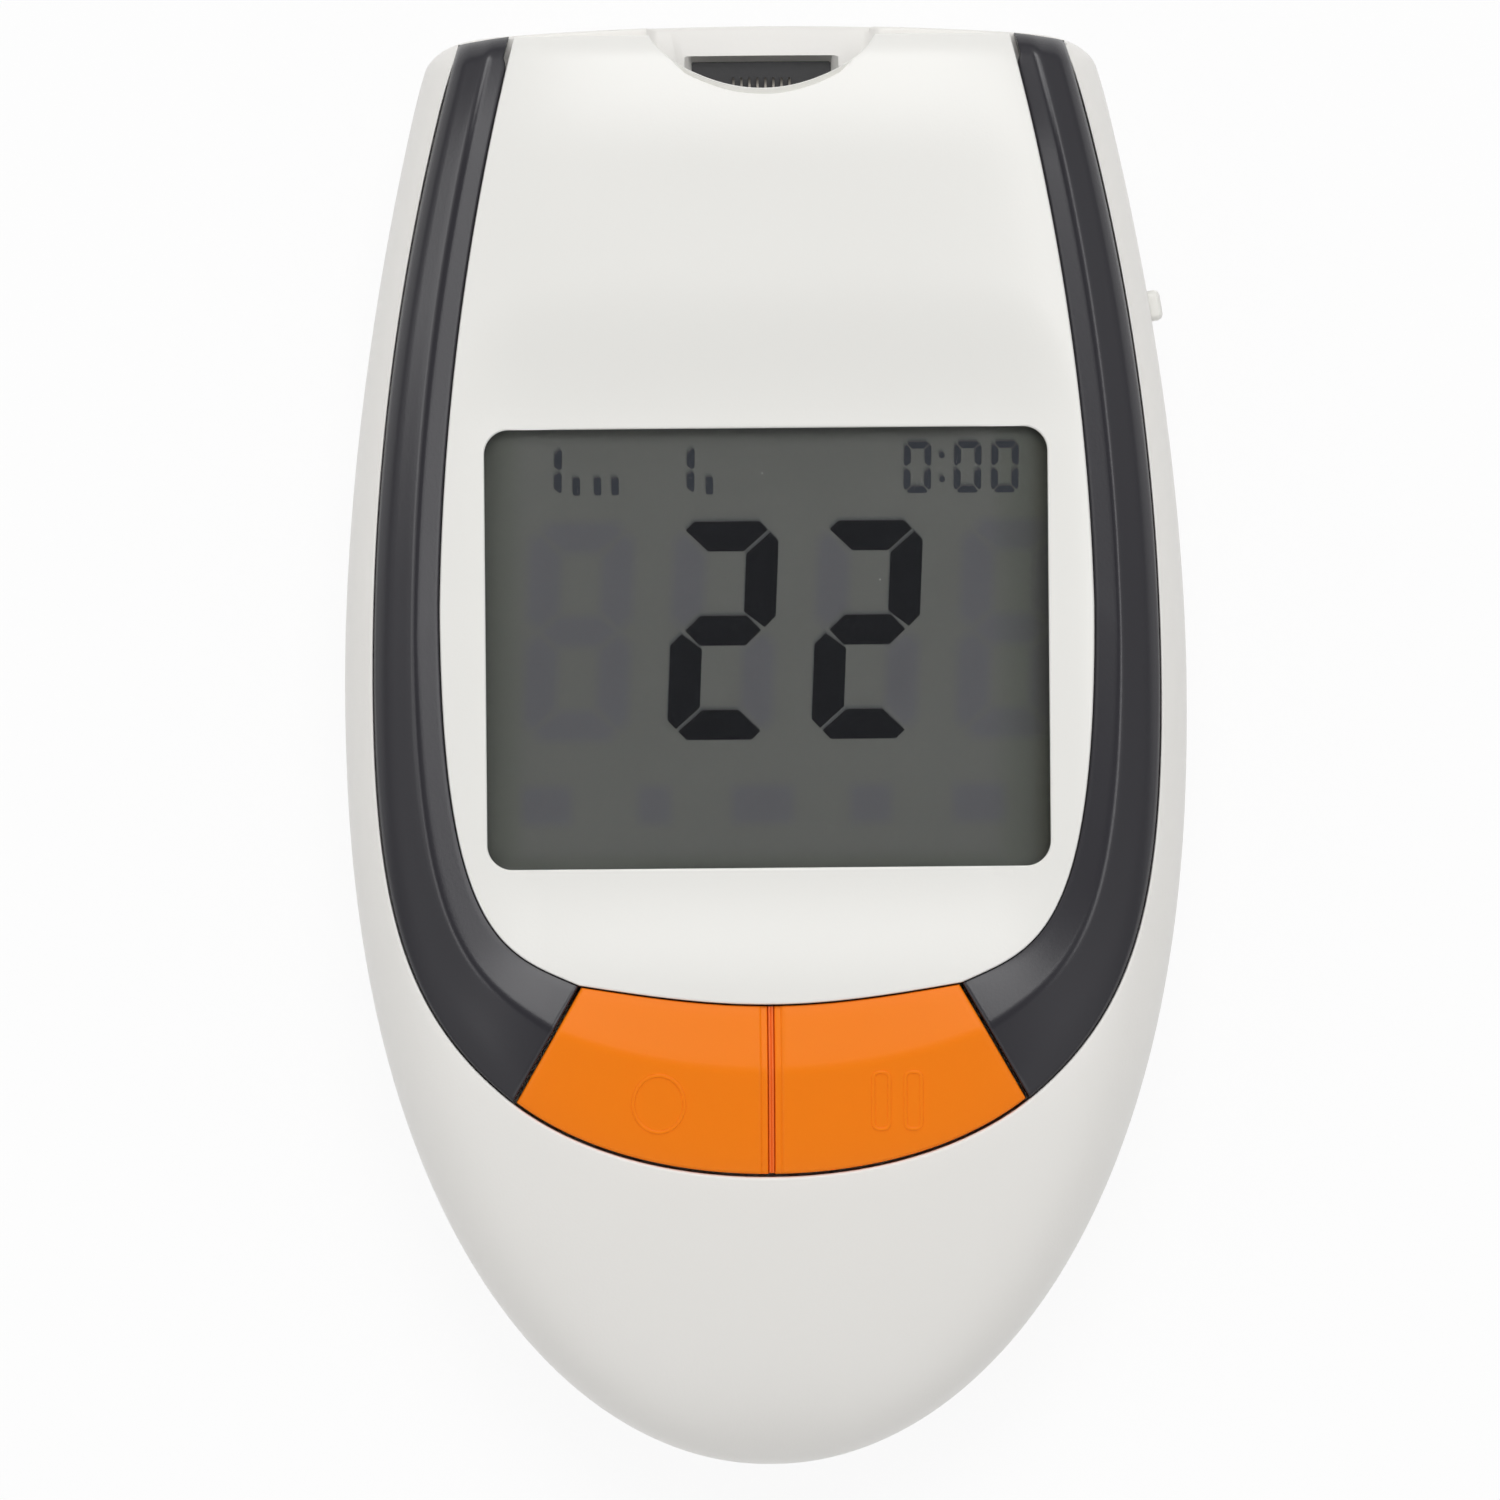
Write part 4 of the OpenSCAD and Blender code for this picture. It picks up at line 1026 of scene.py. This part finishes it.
def lid_bar(name, ins, outs, base_z, gaps, rims, falls):
    """Creased bar between two edges, with a gap and a rounded rim at each and square ends.

    falls says how far each section sinks below the lid's skin, to round the ends off."""
    width = np.linalg.norm(outs - ins, axis=1)
    way = (outs - ins) / width[:, None]
    flat = np.interp(outs[:, 1], [-20, 10, 30], [0.25, 0.5, 1.0])
    crease_at = CREASE_SHARE * width
    ridge = ins + way * crease_at[:, None]
    z_in = lid_skin(ins) - TRIM_DROP - over_end(ins[:, 1])
    z_top = lid_skin(ridge) + CREASE_H - over_end(ridge[:, 1])
    z_out = lid_skin(outs) - over_end(outs[:, 1])
    slope_in, slope_out = (z_top - z_in) / crease_at, (z_out - z_top) / (width - crease_at)

    def height(d):
        share = np.clip((d - crease_at) / (width - crease_at), 0, 1)
        eased = share - flat * (FACET_EASE * share - FACET_EASE / 0.16 * np.clip(share - 0.6, 0, None) ** 2)
        line = np.where(d < crease_at, z_in + slope_in * d, z_top + (z_out - z_top) * eased)
        near = np.clip(CREASE_R - np.abs(d - crease_at), 0, None)
        bend = slope_in - slope_out * (1 - flat * FACET_EASE)
        return line - bend * near ** 2 / (4 * CREASE_R) - falls

    def rim(edge_at, inward, radius):
        """Rows of a side, from its foot up and round its edge."""
        rows = [(edge_at, base_z + 0 * width), (edge_at, height(edge_at) - radius * 2.5)]
        for a in quarter(6):
            d = edge_at + inward * radius * (1 - np.cos(a))
            rows.append((d, height(d) - radius * (1 - math.sin(a))))
        return rows

    start, stop = gaps[0] + 0 * width, width - gaps[1]
    inner = start + rims[0] + np.linspace(0.2, 0.86, 5)[:, None] * (crease_at - CREASE_R - start - rims[0])
    crease = crease_at + np.linspace(-1, 1, 9)[:, None] * CREASE_R
    outer = crease_at + CREASE_R + np.linspace(0.15, 0.82, 6)[:, None] * (width - crease_at - CREASE_R)
    faces = [*inner, *crease, *(d for d in outer if np.all(d < stop - rims[1]))]
    rows = rim(start, 1, rims[0]) + [(d, height(d)) for d in faces] + rim(stop, -1, rims[1])[::-1]
    rings = np.array([np.column_stack([ins + way * d[:, None], np.maximum(z, base_z)]) for d, z in rows])
    return skin(name, rings.transpose(1, 0, 2)[::-1], angle=30)


def mirror_piece(piece, name):
    """The same piece for the left side."""
    mesh = piece.data.copy()
    mesh.transform(Matrix.Scale(-1, 4, (1, 0, 0)))
    mesh.flip_normals()
    mesh.name = name
    return enter(name, mesh)


def trims():
    counts = [(90, 1.7), (60, 1)]
    # the last stretch before the key rounds off, so stations crowd there
    tail = 1 - np.array([0.012, 0.006, 0.003, 0.001])
    ins, outs = (np.concatenate([line[:-1], bezier(curves[1], tail), line[-1:]])
                 for curves, line in ((curves, edge(curves, counts)) for curves in (TRIM_IN, TRIM_OUT)))
    falls = np.zeros(len(ins))
    falls[-5:] = [0.0, 0.02, 0.06, 0.12, 0.2]
    # and at the strip end it draws away from the panel
    seam = SEAM + 0.34 * np.clip((ins[:, 1] - HALF_L + 3.1) / 0.9, 0, 1) ** 2
    right = lid_bar("trim_right_moulding", ins, outs, DECK_Z, (seam, 0.07), (0.07, 0.3), falls)
    left = mirror_piece(right, "trim_left_moulding")
    settle(right, CHARCOAL, "trim_right")
    settle(left, CHARCOAL, "trim_left")


trims()

# ---- Keys and web ----
# Two orange keys fill the bottom of the U. Each carries on the trims' crease, has one raised sign
# and steps down to a soft orange web in the middle; a stem below it finds its switch.
ORANGE = moulded("orange_key_plastic", (247, 128, 9), 0.42, grain=0.15, mottle=0.02, specular=0.16,
                 subsurface=0.1)
WEB = moulded("orange_elastomer", (242, 114, 36), 0.45, grain=0.2, mottle=0.03, specular=0.3)
KEY_GAP, PRESS = 0.4, math.radians(2.2)
KEY_Z = DECK_Z + CUT_OUT[0] * math.sin(PRESS) + 0.4
WEB_Y = np.linspace(-KEY_LOW + 0.6, -KEY_TOP - 0.4, 40)


def sign_strokes(kind):
    """Strokes of a key's raised sign about its own middle, each a closed row of points."""
    if kind == "ring":
        turn = np.linspace(0, 2 * math.pi, 49)
        return [np.column_stack([1.75 * np.cos(turn), 1.95 * np.sin(turn)])]
    bars = [rounded(1.1, 3.9, 0.4, x, 0, 6) for x in (-1.1, 1.1)]
    return [np.array(bar + bar[:1]) for bar in bars]


def height_over(piece, x, y):
    """Height of a piece's top over a point."""
    hit, place, _, _ = piece.ray_cast(Vector((x, y, 40)) * MM, Vector((0, 0, -1)))
    return place.z / MM


def raised_line(key, points):
    """Thin raised line that follows the key's own face, closed on itself."""
    width, top, foot = 0.14, 0.06, -0.05
    line = np.array([(x, y, height_over(key, x, y)) for x, y in points])
    run = np.gradient(line, axis=0)
    run[0] = run[-1] = line[1] - line[-2]
    profile = [(-1, foot), (-0.7, top * 0.8), (-0.3, top), (0.3, top), (0.7, top * 0.8), (1, foot)]
    rings = [[(*p[:2] + s * width * a, p[2] + b) for a, b in profile] for p, s in zip(line, sideways(run))]
    return skin("stroke", rings[:-1], closed_loop=True, angle=60)


def join_meshes(target, extra):
    """Adds the mesh of extra to target and removes extra."""
    shift = len(target.data.vertices)
    verts = [v.co[:] for piece in (target, extra) for v in piece.data.vertices]
    faces = [tuple(p.vertices) for p in target.data.polygons]
    faces += [tuple(v + shift for v in p.vertices) for p in extra.data.polygons]
    mesh = bpy.data.meshes.new(target.data.name)
    mesh.from_pydata(verts, [], faces)
    smooth(mesh, 30)
    target.data = mesh
    bpy.data.objects.remove(extra)


def key_edge(curve):
    """Points along one edge of the right key, from its cut end to the step beside the web."""
    fine = np.linspace(0, 1, 2001)
    line = bezier(curve, fine)
    begin = 0.24 / np.linalg.norm(line[1] - line[0]) / 2000
    near_web = [1.3, 1.05, 0.92, 0.84, 0.78, 0.73, 0.69, 0.65, 0.58, 0.45, 0.34, 0.28, 0.24, KEY_GAP / 2]
    last = np.interp(-1.6, -line[:, 0], fine)
    shares = np.concatenate([[0.0, 0.003, 0.007, 0.013, 0.022], np.linspace(0.04, 1, 44)])
    beside_web = np.interp([-x for x in near_web], -line[:, 0], fine)
    return bezier(curve, [*begin + (last - begin) * shares, *beside_web])


def key_pair():
    ins, outs = key_edge(KEY_IN[0]), key_edge(KEY_OUT[0])
    across = (ins[:, 0] + outs[:, 0]) / 2
    falls = np.interp(across, [0.2, 0.24, 0.28, 0.34, 0.65, 0.7, 0.78, 0.9, 1.05],
                      [0.5, 0.27, 0.2, 0.17, 0.15, 0.1, 0.03, 0.005, 0.0])
    falls[:4] = [0.2, 0.1, 0.04, 0.01]
    right = lid_bar("memory_key_cap", ins, outs, KEY_Z, (0.1, 0.22), (0.1, 0.2), falls)
    left = mirror_piece(right, "set_key_cap")
    low, high = corners("memory_plunger")
    stem_x, stem_y = (low + high)[:2] / 2
    foot_z = corners("memory_button")[0][2]
    web_z = [height_over(right, 0.45, y) for y in WEB_Y]
    for key, side, kind, at in ((right, 1, "bars", (8.6, -24.2)), (left, -1, "ring", (-7.7, -24.3))):
        for stroke in [raised_line(key, s + np.array(at)) for s in sign_strokes(kind)]:
            join_meshes(key, stroke)
        stem_plan = ring_outline(side * stem_x, stem_y, STEM_R, 32)
        join_meshes(key, prism("stem", stem_plan, foot_z, KEY_Z + 0.5))
    settle(right, ORANGE, "memory_button", "memory_key")
    settle(left, ORANGE, "set_button", "set_key")
    web([web_z[0] - 0.15, *web_z, web_z[-1] - 0.02])


def web(tops):
    """Soft strip on the deck with a thin double bead that closes the gap between the keys."""
    low, high = corners("button_web")
    half = 0.18
    bead = [(-half, -0.06), (-0.15, 0.0), (-0.11, 0.02), (-0.06, 0.0), (0.0, -0.08)]
    bead += [(-x, dip) for x, dip in bead[-2::-1]]
    rings = []
    for y, z in zip([-KEY_LOW + 0.28, *WEB_Y, -KEY_TOP - 0.12], tops):
        ring = [(x, y, z + dip) for x, dip in bead]
        rings.append([(-half, y, high[2] - 0.1), *ring, (half, y, high[2] - 0.1)])
    plan = rounded(high[0] - low[0], high[1] - low[1], 0.5, 0, (low[1] + high[1]) / 2, 5)
    strip = prism("key_web", plan, low[2], high[2])
    join_meshes(strip, skin("bead", rings, angle=60))
    settle(strip, WEB, "button_web")


key_pair()

# ---- Centre panel ----
# A white satin shell that covers the middle of the lid, with a shallow dish round the window and
# a scallop over the strip slot. Its skirt drops between the trims and it snaps onto the deck.
WHITE_PANEL = moulded("white_panel_plastic", (235, 234, 230), 0.36, grain=0.15, mottle=0.006)
PANEL_END = HALF_L - 0.8
SCALLOP_W, SCALLOP_D = 15.5, 3.68
PANEL_T, DISH = 1.4, 1.12


def panel_height(x, y):
    """Height of the panel's skin: that of the case, less the dish round the window."""
    inside, fade_x, fade_y = 4, 7, 10
    u = np.clip(np.abs(x) - WINDOW_W / 2 + inside, 0, None) / fade_x
    v = np.clip(np.abs(y - WINDOW_Y) - WINDOW_L / 2, 0, None) / fade_y
    q = np.clip(np.hypot(u, v), 0, 1)
    return case_height(x, np.minimum(y, HALF_L - 1e-3)) - DISH * (0.5 + 0.5 * np.cos(math.pi * q))


def panel():
    edge_line = moved(u_in, -SEAM)
    side = edge_line[edge_line[:, 1] < PANEL_END]
    corner = (side[0][0] - 0.02, PANEL_END)
    s = np.sin(quarter(60))
    depth = SCALLOP_D * (1 - 0.83 * s ** 2 - 0.17 * s ** 12)
    scallop = np.column_stack([SCALLOP_W / 2 * s, PANEL_END - depth])
    outline = mirrored(np.concatenate([scallop, [corner], side]))
    window = np.array(rounded(WINDOW_W, WINDOW_L, WINDOW_R, 0, WINDOW_Y, 14))
    pocket = np.array(rounded(LENS_W + 0.2, LENS_L + 0.2, WINDOW_R + 0.4, 0, LENS_Y, 14))
    marks = [corner, scallop[-1], u_in[-1] + [1e-3, 0], *window[window[:, 0] > 0], *scallop[1:-1:2]]
    angles = rays(marks, 900)
    out_r, win_r, pocket_r = (reach(line, angles) for line in (outline, window, pocket))
    in_scallop = np.abs(angles - math.pi / 2) < math.pi / 2 - angle_of(scallop[-1])
    seat_z, frame_z = lens_high[2] + 0.05, lens_high[2] - 0.55
    rim_in, rim_out, shelf_w = 0.16, 0.14, 0.46

    def surface(distance):
        return panel_height(*along(angles, distance))

    rows = [(win_r, seat_z)]
    for a in quarter(6):
        d = win_r + rim_in * (1 - math.cos(a))
        rows.append((d, np.maximum(surface(d) - rim_in * (1 - math.sin(a)), seat_z + 0.01)))
    near, far = win_r + rim_in, out_r - np.where(in_scallop, shelf_w, rim_out)
    for share in np.linspace(0, 1, 44)[1:-1]:
        d = near + (far - near) * (share - 0.12 * math.sin(2 * math.pi * share))
        rows.append((d, surface(d)))
    # under the slot the edge is stepped: a groove and a low lip
    shelf = [(1.0, 0.0), (0.96, 0.05), (0.94, 0.4), (0.9, 0.52), (0.5, 0.4), (0.12, 0.28), (0.0, 0.38)]
    over_slot = in_scallop * np.clip((6.2 - np.abs(along(angles, out_r)[0])) / 0.8, 0, 1)
    for a, (left, sunk) in zip(quarter(len(shelf))[::-1], shelf):
        plain_in, plain_fall = rim_out * (1 - math.cos(a)), rim_out * (1 - math.sin(a))
        inward = plain_in + (shelf_w * left - plain_in) * over_slot
        fall = plain_fall + (sunk - plain_fall) * over_slot
        rows.append((out_r - inward, surface(np.minimum(out_r - inward, out_r - 0.01)) - fall))
    foot_z = np.where(in_scallop, surface(out_r - 0.01) - PANEL_T, DECK_Z)
    under_z = np.maximum(np.minimum(surface(out_r - 1.2) - PANEL_T, frame_z), foot_z)
    rows += [(out_r, foot_z), (out_r - 1.0, foot_z), (out_r - 1.1, under_z),
             (pocket_r + 0.9, frame_z), (pocket_r, frame_z), (pocket_r, seat_z)]
    settle(rows_to_piece("centre_panel_cover", angles, rows), WHITE_PANEL, "centre_panel")


panel()
